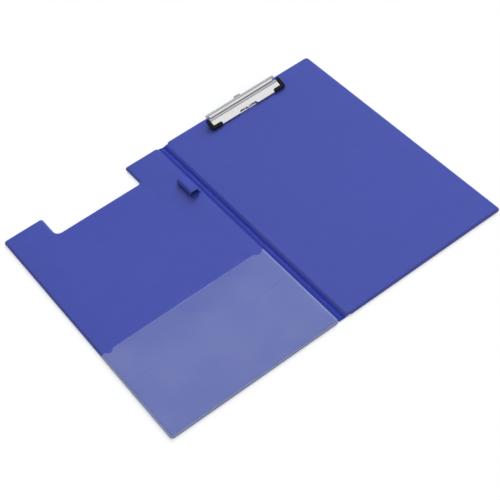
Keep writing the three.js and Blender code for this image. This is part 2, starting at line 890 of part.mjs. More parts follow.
function washer() {
  const disc = new THREE.Shape(circlePoints(0, 0, washerRadius));
  disc.holes.push(new THREE.Path(circlePoints(0, 0, rivetHoleRadius)));
  const geometry = new THREE.ExtrudeGeometry(disc, {
    depth: skinThickness - washerLift,
    bevelEnabled: false,
  });
  return geometry.translate(0, 0, washerLift - panelThickness);
}

function placed(mesh, x, y) {
  mesh.position.set(x, y, 0);
  return mesh;
}

function clip() {
  const sides = { left: -1, right: 1 };
  const made = group(
    piece("clip_base_plate", basePlate(), platedSteel),
    piece("clip_jaw", jaw(), platedSteel),
    piece("clip_pivot_pin", pivotPin(), springSteel),
    piece("hanging_tab", hangingTab(), platedSteel),
  );
  Object.entries(sides).forEach(([name, side]) => {
    const spring = torsionSpring(side * springCentreOffset);
    made.add(piece(name + "_corner_grip", cornerGrip(side), blackPlastic));
    made.add(piece(name + "_torsion_spring", spring, springSteel));
    made.add(placed(piece(name + "_rivet", rivet(), platedSteel), side * rivetOffset, rivetReach));
    made.add(placed(piece(name + "_rivet_washer", washer(), platedSteel), side * rivetOffset, rivetReach));
  });
  made.position.set(clipCentre, pinLine, panelThickness);
  return made;
}

const folder = group(
  boardHalf(),
  spine(),
  coverHalf(),
  clip(),
  fold("board_side_fold", stripEdge, spineEdge),
  fold("cover_side_fold", -spineEdge, -stripEdge),
);
const extent = new THREE.Box3().setFromObject(folder, true);
folder.position.y = -(extent.min.y + extent.max.y) / 2;

export default folder;
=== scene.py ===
"""Clipboard folder, lying open: its looks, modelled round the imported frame.

Lengths are in metres. +X runs across the open folder from the cover to the board, +Y up the page,
+Z up. The clip is drawn about its pin: zero on the pin's line across, zero on the board's face in
height. Lists of points are drawn in millimetres where they go through in_mm.
"""

import json
import math

import bmesh
import bpy
from bpy.props import FloatProperty, FloatVectorProperty, IntProperty, PointerProperty
from mathutils import Matrix, Vector


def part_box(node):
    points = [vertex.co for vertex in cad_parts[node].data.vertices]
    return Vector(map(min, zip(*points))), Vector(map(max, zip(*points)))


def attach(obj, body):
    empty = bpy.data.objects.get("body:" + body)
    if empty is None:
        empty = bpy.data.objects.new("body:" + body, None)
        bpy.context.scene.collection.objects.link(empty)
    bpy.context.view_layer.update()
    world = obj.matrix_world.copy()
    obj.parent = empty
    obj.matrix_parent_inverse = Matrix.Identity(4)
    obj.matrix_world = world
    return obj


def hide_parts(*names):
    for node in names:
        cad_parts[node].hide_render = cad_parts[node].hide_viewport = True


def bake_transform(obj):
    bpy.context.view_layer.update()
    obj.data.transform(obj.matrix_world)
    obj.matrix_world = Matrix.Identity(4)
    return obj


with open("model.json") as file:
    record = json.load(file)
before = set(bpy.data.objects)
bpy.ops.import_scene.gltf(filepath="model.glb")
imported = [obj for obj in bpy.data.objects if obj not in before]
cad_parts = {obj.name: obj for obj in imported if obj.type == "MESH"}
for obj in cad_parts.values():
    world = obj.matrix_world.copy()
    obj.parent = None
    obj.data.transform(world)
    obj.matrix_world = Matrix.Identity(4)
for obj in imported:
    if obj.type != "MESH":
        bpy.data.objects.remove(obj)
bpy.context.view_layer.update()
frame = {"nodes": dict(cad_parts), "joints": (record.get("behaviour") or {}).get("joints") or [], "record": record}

bl_info = {
    "name": "Clipboard folder",
    "version": (1, 0, 0),
    "blender": (4, 5, 0),
    "location": "View3D > Sidebar > Folder",
    "description": "Models and finishes a hinged clipboard folder round its frame",
    "category": "Object",
}

MM = 0.001
NEAR = 0.02 * MM
SAME_SPOT = 0.001 * MM
LIFT_STEP = 0.004 * MM
CORNER_SEGMENTS = 8
TURN_STEPS = 32
QUARTER = math.pi / 2
ACROSS, UP = (1, 0, 0), (0, 0, 1)
X, Y = 0, 1
SIDES = ((-1, "left"), (1, "right"))

HINGES = {joint["name"]: joint for joint in frame["joints"]}
BOARD_LOW, BOARD_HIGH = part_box("board_inner_skin")
COVER_LOW, COVER_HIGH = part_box("cover_inner_skin")
STRIP_LOW, STRIP_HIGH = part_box("spine_inner_skin")
FILM_LOW, FILM_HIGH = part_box("pocket_film")
LOOP_LOW, LOOP_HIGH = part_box("pen_loop")
PIN_LOW, PIN_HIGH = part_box("clip_pivot_pin")
PIN = Vector(HINGES["jaw_hinge"]["pos_m"])
CLIP = Vector((PIN.x, PIN.y, BOARD_HIGH.z))
PIN_HEIGHT = PIN.z - CLIP.z


# Modelling: small steps that every piece is made with


def rest():
    """Leaves edit mode and deselects everything."""
    if bpy.context.object and bpy.context.object.mode == "EDIT":
        bpy.ops.object.mode_set(mode="OBJECT")
    bpy.ops.object.select_all(action="DESELECT")


def take(piece):
    """Selects one piece alone and makes it the active one."""
    rest()
    piece.select_set(True)
    bpy.context.view_layer.objects.active = piece


def edit(piece, kind="VERT", whole=True):
    """Opens a piece in edit mode with all of it selected, or with nothing."""
    take(piece)
    bpy.ops.object.mode_set(mode="EDIT")
    bpy.ops.mesh.select_mode(type=kind)
    bpy.ops.mesh.select_all(action="SELECT" if whole else "DESELECT")


def pick(piece, test):
    """Selects only the vertices of the piece being edited that pass a test."""
    bpy.ops.mesh.select_all(action="DESELECT")
    mesh = bmesh.from_edit_mesh(piece.data)
    found = [vert for vert in mesh.verts if test(vert)]
    for vert in found:
        vert.select_set(True)
    mesh.select_flush_mode()
    bmesh.update_edit_mesh(piece.data)
    if not found:
        raise RuntimeError(f"{piece.name}: nothing is where a selection looked for it")


def draw_out(step):
    """Extrudes what is selected along a vector."""
    bpy.ops.mesh.extrude_region_move(TRANSFORM_OT_translate={"value": Vector(step)})


def merge_close(width):
    """Merges what is closer than a width, of all that is selected."""
    bpy.ops.mesh.remove_doubles(threshold=width)
    bpy.ops.mesh.dissolve_degenerate(threshold=width)


def outward(piece):
    """Merges doubles and turns the faces of a closed piece outwards."""
    edit(piece)
    bpy.ops.mesh.remove_doubles(threshold=SAME_SPOT)
    bpy.ops.mesh.normals_make_consistent(inside=False)
    rest()


def face_up(piece):
    """Turns an open sheet so that its faces point up."""
    if sum(polygon.normal.z * polygon.area for polygon in piece.data.polygons) < 0:
        edit(piece)
        bpy.ops.mesh.flip_normals()
        rest()


def modify(piece, kind, **settings):
    """Adds a modifier and applies it."""
    take(piece)
    bpy.ops.object.modifier_add(type=kind)
    modifier = piece.modifiers[-1]
    for name, value in settings.items():
        setattr(modifier, name, value)
    bpy.ops.object.modifier_apply(modifier=modifier.name)


def combine(piece, tool, operation):
    """Joins, cuts or trims a piece with a second solid, which is used up."""
    modify(piece, "BOOLEAN", operation=operation, object=tool, solver="EXACT")
    bpy.data.objects.remove(tool, do_unlink=True)
    edit(piece)
    merge_close(2 * SAME_SPOT)
    rest()


def clear_slivers(piece, width):
    """Merges slivers that a cut or a bevel can leave, and deletes what then hangs on nothing."""
    edit(piece)
    merge_close(width)
    bpy.ops.mesh.select_all(action="SELECT")
    bpy.ops.mesh.delete_loose(use_verts=True, use_edges=True, use_faces=True)
    rest()


def ease(piece, width, segments=2, angle=50):
    """Rounds the edges of a solid that are sharper than an angle in degrees."""
    modify(piece, "BEVEL", width=width, segments=segments, limit_method="ANGLE",
           angle_limit=math.radians(angle), use_clamp_overlap=True, miter_outer="MITER_ARC")


def thicken(piece, thickness, offset=-1.0, even=True):
    """Gives a sheet its thickness, below its face."""
    modify(piece, "SOLIDIFY", thickness=thickness, offset=offset, use_even_offset=even)


def wire(name, points):
    """Draws a line through points, by extruding one vertex from each point to the next."""
    rest()
    bpy.ops.mesh.primitive_plane_add(size=MM, location=points[0])
    piece = bpy.context.object
    piece.name = piece.data.name = name
    bpy.ops.object.transform_apply(location=True, rotation=False, scale=False)
    edit(piece)
    bpy.ops.mesh.merge(type="CENTER")
    for before, after in zip(points, points[1:]):
        draw_out(Vector(after) - Vector(before))
    rest()
    return piece


def shape(name, corners, place):
    """A flat face through corners, which place() puts in space.

    A corner is two coordinates and, where it is round, a radius.
    """
    spots = [Vector(place(a, b)) for a, b, *_ in corners]
    piece = wire(name, spots)
    edit(piece)
    bpy.ops.mesh.edge_face_add()
    for index, (_, _, *radius) in enumerate(corners):
        if radius:
            spot = spots[index]
            before = (spots[index - 1] - spot).normalized()
            after = (spots[(index + 1) % len(spots)] - spot).normalized()
            pick(piece, lambda vert: (vert.co - spot).length < NEAR)
            bpy.ops.mesh.bevel(
                offset=radius[0] / math.tan(before.angle(after) / 2), offset_type="ABSOLUTE",
                segments=CORNER_SEGMENTS, affect="VERTICES",
            )
    rest()
    return piece


def extruded(name, corners, place, along):
    """A solid: a flat shape drawn out along a vector."""
    piece = shape(name, corners, place)
    edit(piece, "FACE")
    draw_out(along)
    outward(piece)
    return piece


def swept(name, line, along):
    """An open sheet: a line drawn out along a vector."""
    piece = wire(name, line)
    edit(piece)
    draw_out(along)
    rest()
    return piece


def turned(name, profile, centre, axis=UP):
    """A round solid: a profile of (radius, height) pairs spun about an axis that isn't along Y."""
    centre, axis = Vector(centre), Vector(axis)
    line = [centre + Vector((0, radius, 0)) + axis * height for radius, height in profile]
    piece = wire(name, line)
    edit(piece)
    bpy.ops.mesh.spin(steps=TURN_STEPS, angle=2 * math.pi, center=centre, axis=axis)
    outward(piece)
    return piece


def bored(piece, radius, low, high, centre, axis=UP):
    """Cuts a round hole through a piece, from one height to another along an axis."""
    bore = turned("bore", [(0, low), (radius, low), (radius, high), (0, high)], centre, axis)
    combine(piece, bore, "DIFFERENCE")


def in_mm(points):
    """Points that are drawn in millimetres, with their radii if they have any."""
    return [tuple(value * MM for value in point) for point in points]


def mirrored(half):
    """Corners drawn for the right side, and again for the left one."""
    return half + [(-a, *others) for a, *others in reversed(half)]


def arc(centre, radius, start, end, steps):
    """Points on a circle drawn in two coordinates, angles in degrees."""
    angles = [math.radians(start + (end - start) * step / steps) for step in range(steps + 1)]
    return [(centre[0] + radius * math.cos(a), centre[1] + radius * math.sin(a)) for a in angles]


def curve_through(points, steps):
    """A smooth line through points drawn in two coordinates."""
    ends = [points[0]] + list(points) + [points[-1]]
    line = []
    for corners in zip(ends, ends[1:], ends[2:], ends[3:]):
        for step in range(steps):
            t = step / steps
            line.append(tuple(
                0.5 * (2 * b + (c - a) * t + (2 * a - 5 * b + 4 * c - d) * t * t
                       + (3 * b - a - 3 * c + d) * t ** 3)
                for a, b, c, d in zip(*corners)
            ))
    return line + [tuple(points[-1])]


def beside(line, distance):
    """The line that runs at a distance to the left of another."""
    moved = []
    for index, (a, b) in enumerate(line):
        before = Vector(line[max(index - 1, 0)])
        after = Vector(line[min(index + 1, len(line) - 1)])
        along = (after - before).normalized()
        moved.append((a - along.y * distance, b + along.x * distance))
    return moved


def band(line, thickness):
    """The outline of a strip that is bent along a line."""
    return beside(line, thickness / 2) + beside(line, -thickness / 2)[::-1]


def lift(piece, rise):
    """Raises or lowers vertices: rise gives the change of height at a place."""
    levels = {}
    for vert in piece.data.vertices:
        level = round(rise(vert.co) / LIFT_STEP)
        if level:
            levels.setdefault(level, set()).add(vert.index)
    edit(piece)
    for level, found in levels.items():
        pick(piece, lambda vert: vert.index in found)
        bpy.ops.transform.translate(value=(0, 0, level * LIFT_STEP))
    rest()


def cut_across(piece, spots, axis, **options):
    """Divides all faces of a piece by planes across an axis, at each of the places along it."""
    normal = Vector((0, 0, 0))
    normal[axis] = 1.0
    edit(piece)
    for spot in spots:
        bpy.ops.mesh.select_all(action="SELECT")
        bpy.ops.mesh.bisect(plane_co=normal * spot, plane_no=normal, **options)
    rest()


def soft_step(share):
    share = min(max(share, 0.0), 1.0)
    return share * share * (3 - 2 * share)


def level_on(line, spot):
    """The height of a drawn line at a place along it."""
    for (a, low), (b, high) in zip(line, line[1:]):
        if a <= spot <= b:
            return low + (high - low) * (spot - a) / (b - a)
    return line[0][1] if spot < line[0][0] else line[-1][1]


def on_clip(height):
    """Puts (across, up the page) of the clip's drawing in space, at a height over the board."""
    return lambda a, b: (CLIP.x + a, CLIP.y + b, CLIP.z + height)


def across_clip(a):
    """Puts (up the page, height) of the clip's drawing in space, at a place across."""
    return lambda b, c: (CLIP.x + a, CLIP.y + b, CLIP.z + c)


def rivet_centre(sizes, side):
    return (CLIP.x + side * sizes.rivet_spread, CLIP.y - sizes.rivet_setback, CLIP.z)


def mark(piece, name, share):
    """Stores a share, worked out from each vertex's place, as an attribute for the finishes."""
    attribute = piece.data.attributes.new(name, "FLOAT", "POINT")
    attribute.data.foreach_set("value", [share(vert.co) for vert in piece.data.vertices])


def dress(piece, node, slot, body=None, finish=None, smooth=32):
    """Ends a piece: smooths edges up to an angle in degrees, gives the piece its material, named by its slot
    unless a finish is given, puts it on its body if one is given, and hides the node that it stands for."""
    take(piece)
    bpy.ops.object.shade_smooth_by_angle(angle=math.radians(smooth))
    rest()
    piece.data.materials.clear()
    piece.data.materials.append(finish_for(finish or slot))
    if body:
        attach(piece, body)
    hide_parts(node)


# Finishes: shared effects as node groups, and the materials that use them


class Nodes:
    """A node tree that is being written. A method adds nodes and gives back their output."""

    def __init__(self, tree):
        self.tree = tree

    def join(self, value, socket):
        """Fills an input with a value, or with another node's output."""
        if isinstance(value, bpy.types.NodeSocket):
            self.tree.links.new(value, socket)
        else:
            socket.default_value = value

    def put(self, kind, inputs=None, **settings):
        """Adds a node, sets it and fills its inputs. This one gives back all its outputs."""
        node = self.tree.nodes.new(kind)
        for name, value in settings.items():
            setattr(node, name, value)
        for key, value in (inputs or {}).items():
            self.join(value, node.inputs[key])
        return node.outputs

    def maths(self, operation, *values, clamp=False):
        inputs = dict(enumerate(values))
        return self.put("ShaderNodeMath", inputs, operation=operation, use_clamp=clamp)[0]

    def times(self, *values):
        return self.maths("MULTIPLY", *values)

    def plus(self, first, second, share, clamp=False):
        """A value and a share of another."""
        return self.maths("ADD", first, self.times(second, share), clamp=clamp)

    def spread(self, value, low, high, to_low=0.0, to_high=1.0, kind="SMOOTHSTEP"):
        """Maps a value's range to another, with soft ends."""
        inputs = {"Value": value, "From Min": low, "From Max": high,
                  "To Min": to_low, "To Max": to_high}
        return self.put("ShaderNodeMapRange", inputs, interpolation_type=kind)["Result"]

    def between(self, share, low, high, kind="SMOOTHSTEP"):
        """Goes from low to high as a share goes from 0 to 1."""
        return self.spread(share, 0.0, 1.0, low, high, kind)

    def mixed(self, factor, first, second):
        """Mixes two colours."""
        return self.put("ShaderNodeMix", {0: factor, 6: first, 7: second}, data_type="RGBA")[2]

    def tinted(self, body, mask, share, tint):
        """A colour that takes a share of a tint where a mask is."""
        return self.mixed(self.times(mask, share), body, tint)

    def place(self, **mapping):
        """A place in the piece's own coordinates, turned or stretched by a mapping."""
        own = self.put("ShaderNodeTexCoord")["Object"]
        return self.put("ShaderNodeMapping", {"Vector": own, **mapping})[0] if mapping else own

    def noise(self, place, scale, detail, roughness=0.5):
        inputs = {"Vector": place, "Scale": scale, "Detail": detail, "Roughness": roughness}
        return self.put("ShaderNodeTexNoise", inputs)["Fac"]

    def attribute(self, name):
        return self.put("ShaderNodeAttribute", attribute_name=name)["Fac"]

    def use(self, effect, **values):
        """A shared effect with its own values."""
        inputs = {name.capitalize(): value for name, value in values.items()}
        return self.put("ShaderNodeGroup", inputs, node_tree=effect())[0]

    def bumped(self, height, depth):
        inputs = {"Height": height, "Distance": depth, "Strength": 1.0}
        return self.put("ShaderNodeBump", inputs)["Normal"]

    def feed(self, **sockets):
        """Fills the inputs of the Principled shader."""
        for name, value in sockets.items():
            label = name.replace("_", " ").title().replace("Ior", "IOR")
            self.join(value, self.tree.nodes["Principled BSDF"].inputs[label])


def effect(name, output, **inputs):
    """Turns a function that writes nodes into one that gives their node group, made once."""

    def wrap(write):
        def group():
            made = bpy.data.node_groups.get(name)
            if made:
                return made
            tree = bpy.data.node_groups.new(name, "ShaderNodeTree")
            add = tree.interface.new_socket
            for label, value in inputs.items():
                add(name=label, in_out="INPUT", socket_type="NodeSocketFloat").default_value = value
            add(name=output, in_out="OUTPUT", socket_type="NodeSocketFloat")
            given = tree.nodes.new("NodeGroupInput").outputs
            end = tree.nodes.new("NodeGroupOutput")
            tree.links.new(write(Nodes(tree), given), end.inputs[output])
            return tree

        return group

    return wrap


@effect("Cloudy tone", "Tone", Scale=12.0, Detail=4.0)
def cloudy(nodes, given):
    """Slow, uneven change over a surface."""
    noise = nodes.noise(nodes.place(), given["Scale"], given["Detail"], roughness=0.55)
    return nodes.spread(noise, 0.3, 0.7)


@effect("Pebbled grain", "Height", Scale=1400.0)
def pebbled(nodes, given):
    """The fine embossed grain of a calendered plastic sheet."""
    place = nodes.place()
    inputs = {"Vector": place, "Scale": given["Scale"]}
    cells = nodes.put("ShaderNodeTexVoronoi", inputs, feature="SMOOTH_F1")["Distance"]
    noise = nodes.noise(place, nodes.times(given["Scale"], 2.3), 2.0)
    return nodes.plus(nodes.times(nodes.spread(cells, 0.05, 0.65, 1.0, 0.0), 0.7), noise, 0.3)


@effect("Worn edge", "Mask", Width=0.4 * MM, Scale=160.0)
def convex_edges(nodes, given):
    """A mask of the convex edges and corners, broken up as wear is. The sheet and the plating use it for wear; the
    grips use it for wear and for painted highlights.
    """
    rounded = nodes.put("ShaderNodeBevel", {"Radius": given["Width"]}, samples=6)["Normal"]
    true = nodes.put("ShaderNodeNewGeometry")["True Normal"]
    same = nodes.put("ShaderNodeVectorMath", {0: rounded, 1: true}, operation="DOT_PRODUCT")
    turn = nodes.maths("SUBTRACT", 1.0, same["Value"])
    broken = nodes.spread(nodes.noise(nodes.place(), given["Scale"], 5.0), 0.35, 0.65)
    return nodes.times(nodes.spread(turn, 0.01, 0.18), broken)


@effect("Scuffs", "Mask", Scale=16.0)
def scuffed(nodes, given):
    """Faint crossing scratches from handling."""
    lines = []
    for turn, stretch in ((0.35, 26.0), (-0.9, 34.0)):
        place = nodes.place(Rotation=(0, 0, turn), Scale=(1.0, stretch, stretch))
        lines.append(nodes.spread(nodes.noise(place, given["Scale"], 1.0), 0.66, 0.74))
    return nodes.maths("MAXIMUM", *lines)


@effect("Drawn lines", "Height", Scale=6000.0)
def drawn_lines(nodes, given):
    """Very fine lines across the page, as rolling and polishing leave on steel."""
    return nodes.noise(nodes.place(Scale=(0.02, 1.0, 1.0)), given["Scale"], 3.0)


@effect("Weld ribs", "Height", Scale=280.0, Rim=0.0)
def weld_ribs(nodes, given):
    """The small crossed ribs that a welding bar presses into a rim."""
    waves = []
    for turn in (QUARTER / 2, -QUARTER / 2):
        inputs = {"Vector": nodes.place(Rotation=(0, 0, turn)), "Scale": given["Scale"]}
        waves.append(nodes.put("ShaderNodeTexWave", inputs, bands_direction="X")["Fac"])
    return nodes.times(nodes.times(*waves), given["Rim"])


def lighter(colour, share):
    return tuple(c + (1 - c) * share for c in colour[:3]) + (1.0,)


def darker(colour, share):
    return tuple(c * (1 - share) for c in colour[:3]) + (1.0,)


SHEET_SHEEN, SPINE_SHEEN, GRIP_SHEEN = 0.64, 0.27, 0.22
GRAIN_DEPTH, FILM_WAVE_DEPTH, SPARK_DEPTH, FIBRE_DEPTH = in_mm([(0.012, 0.5, 0.006, 0.03)])[0]
PLATING_LINE_DEPTH, WIRE_LINE_DEPTH = in_mm([(0.0006, 0.001)])[0]


def sheet_finish(nodes, colours, sheen=SHEET_SHEEN):
    """Blue welded plastic sheet: pebbled, satin, a little paler where it is rubbed, and painted darker in the
    welded grooves by the spine as their shade.
    """
    blue, weld = tuple(colours.sheet), nodes.attribute("weld")
    tone = nodes.use(cloudy, scale=9.0)
    small = nodes.use(cloudy, scale=85.0)
    edge_mask = nodes.use(convex_edges, width=0.35 * MM, scale=170.0)
    scuffs = nodes.use(scuffed, scale=14.0)
    body = nodes.tinted(darker(blue, 0.05), tone, 0.55, lighter(blue, 0.012))
    body = nodes.tinted(body, small, 0.22, darker(blue, 0.09))
    body = nodes.tinted(body, edge_mask, 0.3, lighter(blue, 0.12))
    # Painted shade: this mark darkens the welded grooves beside the spine, where shade falls and the sheen is
    # lost.
    body = nodes.tinted(body, weld, 0.85, tuple(colours.weld))
    gloss = nodes.plus(nodes.between(tone, 0.40, 0.47), small, 0.04)
    gloss = nodes.plus(gloss, scuffs, 0.07)
    gloss = nodes.times(gloss, nodes.between(weld, 1.0, 0.4))
    ribs = nodes.use(weld_ribs, scale=260.0, rim=nodes.attribute("rim"))
    height = nodes.plus(nodes.use(pebbled, scale=colours.grain_scale), ribs, 2.5)
    height = nodes.maths("SUBTRACT", height, nodes.times(scuffs, 0.4))
    nodes.feed(base_color=body, roughness=gloss, ior=1.5, specular_ior_level=sheen,
               normal=nodes.bumped(height, GRAIN_DEPTH))


def spine_finish(nodes, colours):
    """The same sheet where it is pressed into the spine, which leaves it with less sheen."""
    sheet_finish(nodes, colours, SPINE_SHEEN)


def film_finish(nodes, colours):
    """Clear pocket film: a faint milky veil over what lies under it, stronger at a glance."""
    milk = tuple(colours.film)
    tone = nodes.use(cloudy, scale=22.0)
    slant = nodes.put("ShaderNodeLayerWeight", {"Blend": 0.35})["Facing"]
    veil = nodes.between(tone, 0.093, 0.103)
    veil = nodes.plus(veil, nodes.maths("POWER", slant, 3.0), 0.45)
    veil = nodes.plus(veil, nodes.use(convex_edges, width=0.3 * MM, scale=90.0), 0.35)
    veil = nodes.plus(veil, nodes.attribute("rim"), 0.55)
    veil = nodes.plus(veil, nodes.use(scuffed, scale=20.0), 0.03, clamp=True)
    # The veil thins over the grooves by the spine, so that their painted shade shows through.
    veil = nodes.times(veil, nodes.between(nodes.attribute("weld"), 1.0, 0.1, "LINEAR"))
    gloss = nodes.between(nodes.use(cloudy, scale=60.0), 0.10, 0.19)
    wave = nodes.use(cloudy, scale=7.0, detail=0.5)
    nodes.feed(base_color=nodes.mixed(tone, milk, lighter(milk, 0.1)), alpha=veil, roughness=gloss,
               ior=1.5, normal=nodes.bumped(wave, FILM_WAVE_DEPTH))


def plating_finish(nodes, colours):
    """Bright nickel plating: a soft mirror with fine lines and the odd smudge."""
    plate = tuple(colours.plating)
    smudge = nodes.use(cloudy, scale=60.0)
    lines = nodes.use(drawn_lines, scale=5200.0)
    edge_mask = nodes.use(convex_edges, width=0.2 * MM, scale=400.0)
    body = nodes.tinted(plate, smudge, 0.5, darker(plate, 0.07))
    body = nodes.tinted(body, edge_mask, 0.35, darker(plate, 0.35))
    gloss = nodes.plus(nodes.between(smudge, 0.10, 0.16), lines, 0.06)
    gloss = nodes.plus(gloss, nodes.use(scuffed, scale=60.0), 0.1)
    nodes.feed(base_color=body, roughness=gloss, metallic=1.0,
               normal=nodes.bumped(lines, PLATING_LINE_DEPTH))


def wire_finish(nodes, colours):
    """Drawn spring steel, darker and duller than the plating."""
    steel = tuple(colours.wire)
    smudge = nodes.use(cloudy, scale=240.0)
    lines = nodes.use(drawn_lines, scale=9000.0)
    gloss = nodes.plus(nodes.between(smudge, 0.24, 0.34), lines, 0.1)
    nodes.feed(base_color=nodes.mixed(smudge, darker(steel, 0.25), steel), roughness=gloss,
               metallic=1.0, normal=nodes.bumped(lines, WIRE_LINE_DEPTH))


def grip_finish(nodes, colours):
    """Black moulded plastic with a fine spark-eroded texture, and edges lightened as rubbed wear and as painted
    highlights.
    """
    black = tuple(colours.grip)
    tone = nodes.use(cloudy, scale=120.0)
    edge_mask = nodes.use(convex_edges, width=0.5 * MM, scale=500.0)
    body = nodes.mixed(tone, darker(black, 0.3), black)
    # The edges are lighter partly from rubbing and partly as painted highlights.
    body = nodes.tinted(body, edge_mask, 0.7, lighter(black, 0.11))
    gloss = nodes.plus(nodes.between(tone, 0.30, 0.40), nodes.use(scuffed, scale=80.0), 0.1)
    nodes.feed(base_color=body, roughness=gloss, specular_ior_level=GRIP_SHEEN,
               normal=nodes.bumped(nodes.use(pebbled, scale=4200.0), SPARK_DEPTH))


def greyboard_finish(nodes, colours):
    """Grey recycled board: fibres and flecks. It is seen only where a sheet is cut."""
    grey = tuple(colours.board)
    tone = nodes.use(cloudy, scale=180.0)
    fleck = nodes.use(pebbled, scale=900.0)
    body = nodes.mixed(tone, darker(grey, 0.2), grey)
    body = nodes.tinted(body, fleck, 0.4, lighter(grey, 0.12))
    nodes.feed(base_color=body, roughness=nodes.between(tone, 0.8, 0.95),
               normal=nodes.bumped(fleck, FIBRE_DEPTH))


FINISHES = {
    "panel_core": greyboard_finish,
    "blue_skin": sheet_finish,
    "spine_skin": spine_finish,
    "clear_film": film_finish,
    "plated_steel": plating_finish,
    "spring_steel": wire_finish,
    "black_plastic": grip_finish,
}


def blank(name):
    """A new material, and its nodes to be written."""
    material = bpy.data.materials.new(name)
    material.use_nodes = True
    return material, Nodes(material.node_tree)


def finish_for(name):
    """A finish by its name, made the first time it is asked for."""
    made = bpy.data.materials.get("finish_" + name)
    if made is None:
        made, nodes = blank("finish_" + name)
        FINISHES[name](nodes, bpy.context.scene.folder_colours)
    return made


# Sizes and colours that a user would change


def length(name, description, value):
    return FloatProperty(name=name, description=description, default=value * MM, min=0.0,
                         subtype="DISTANCE", unit="LENGTH")


def colour(name, description, value):
    return FloatVectorProperty(name=name, description=description, default=value + (1.0,), size=4,
                               min=0.0, max=1.0, subtype="COLOR")


def number(name, description, value, **limits):
    limits.setdefault("min", 0.0)
    return FloatProperty(name=name, description=description, default=value, **limits)


class FolderPanelSizes(bpy.types.PropertyGroup):
    """Sizes of the board, the cover and the spine."""

    corner_radius: length("Corner radius", "Radius of the panels' corners", 4.0)
    sheet_thickness: length("Sheet", "Thickness of the plastic sheet", 0.37)
    rim_width: length("Rim", "Width of the flat welded rim round a panel", 0.6)
    edge_run: length("Edge run", "Width over which the sheet rises from rim to face", 2.4)
    rim_height: length("Rim height", "Height of the welded rim over the table", 0.75)
    notch_width: length("Notch width", "Width of the notch in the cover's top edge", 122.5)
    notch_depth: length("Notch depth", "Depth of the notch in the cover's top edge", 35.5)
    notch_shift: length("Notch shift", "How far the notch is off the cover's middle", 2.2)
    notch_mouth_radius: length("Notch mouth", "Radius of the notch's corners at its mouth", 3.2)
    notch_spine_radius: length("Notch corner", "Radius of its inner corner by the spine", 3.0)
    notch_far_radius: length("Notch far corner", "Radius of its other inner corner", 8.0)
    web_low: length("Web underside", "Height of the webs' underside over the table", 0.1)
    slope_end: length("Slope end", "Length over which the slope to the spine fades", 2.2)
    core_room: length("Core room", "Space between the spine's sheet and its stiffener", 0.08)


class FolderPocketSizes(bpy.types.PropertyGroup):
    """Sizes of the pocket and the pen loop."""

    film_thickness: length("Film", "Thickness of the clear film", 0.2)
    film_gap: length("Film gap", "Space between the film and the sheet", 0.1)
    film_setback: length("Film setback", "How far the film's edge lies inside the rim's", 0.3)
    film_lift: length("Mouth lift", "How far the pocket's mouth stands open", 0.45)
    scoop_width: length("Scoop width", "Width of the scoop near each end of the mouth", 10.0)
    scoop_depth: length("Scoop depth", "Depth of that scoop", 3.7)
    band_thickness: length("Band", "Thickness of the pen loop's band", 0.5)
    loop_top_radius: length("Loop top", "Radius of the pen loop's upper corners", 3.6)
    loop_foot_radius: length("Loop foot", "Radius of the pen loop's lower corners", 2.2)
    loop_tab: length("Loop tab", "Width of the pen loop's welded tab", 2.6)


class FolderClipSizes(bpy.types.PropertyGroup):
    """Sizes of the clip."""

    steel: length("Steel", "Thickness of the clip's sheet steel", 0.8)
    jaw_half_width: length("Jaw half width", "Half the width of the jaw's flat plate", 57.2)
    crest_half_width: length("Crest half width", "Half the jaw's width over the pin", 50.0)
    flange_half_width: length("Flange half width", "Half the width of the thumb flange", 54.0)
    recess_width: length("Recess width", "Width of the recess in the jaw's front edge", 29.0)
    recess_depth: length("Recess depth", "Depth of that recess", 3.2)
    grip_arm: length("Grip arm", "Width of the arms of the corner grips", 5.0)
    grip_round: length("Grip rounding", "Rounding of the grips' edges", 0.75)
    wire_radius: length("Wire radius", "Radius of the springs' wire", 0.4)
    coil_radius: length("Coil radius", "Radius of the springs' coils", 1.85)
    coil_pitch: length("Coil pitch", "Distance from one turn of a spring to the next", 1.35)
    spring_spread: length("Spring spread", "Distance of the springs from the middle", 24.0)
    rivet_spread: length("Rivet spread", "Distance of the rivets from the middle", 30.0)
    rivet_setback: length("Rivet setback", "Distance of the rivets from the pin's line", 5.3)
    rivet_bore: length("Rivet bore", "Radius of the rivets' holes", 1.7)
    tab_width: length("Tab width", "Width of the hanging tab", 10.0)
    tab_hole: length("Tab hole", "Radius of the hanging tab's hole", 2.6)
    wire_sides: IntProperty(name="Wire sides", description="Sides of the springs' wire",
                            default=10, min=5)


class FolderColours(bpy.types.PropertyGroup):
    """Colours and grain."""

    sheet: colour("Sheet", "Colour of the plastic sheet", (0.0365, 0.061, 0.395))
    # This colour is painted shade: it darkens the welded grooves beside the spine.
    weld: colour("Weld", "Colour of the sheet where it is welded hard", (0.003, 0.009, 0.26))
    film: colour("Film", "Tint of the clear film", (0.50, 0.59, 0.95))
    plating: colour("Plating", "Colour of the clip's plating", (0.78, 0.768, 0.79))
    wire: colour("Wire", "Colour of the springs and the pin", (0.50, 0.49, 0.47))
    grip: colour("Grip", "Colour of the corner grips", (0.004, 0.004, 0.0045))
    board: colour("Board", "Colour of the grey board inside the panels", (0.27, 0.26, 0.24))
    grain_scale: number("Grain", "Grains of the sheet's emboss per metre", 1500.0, min=100.0)


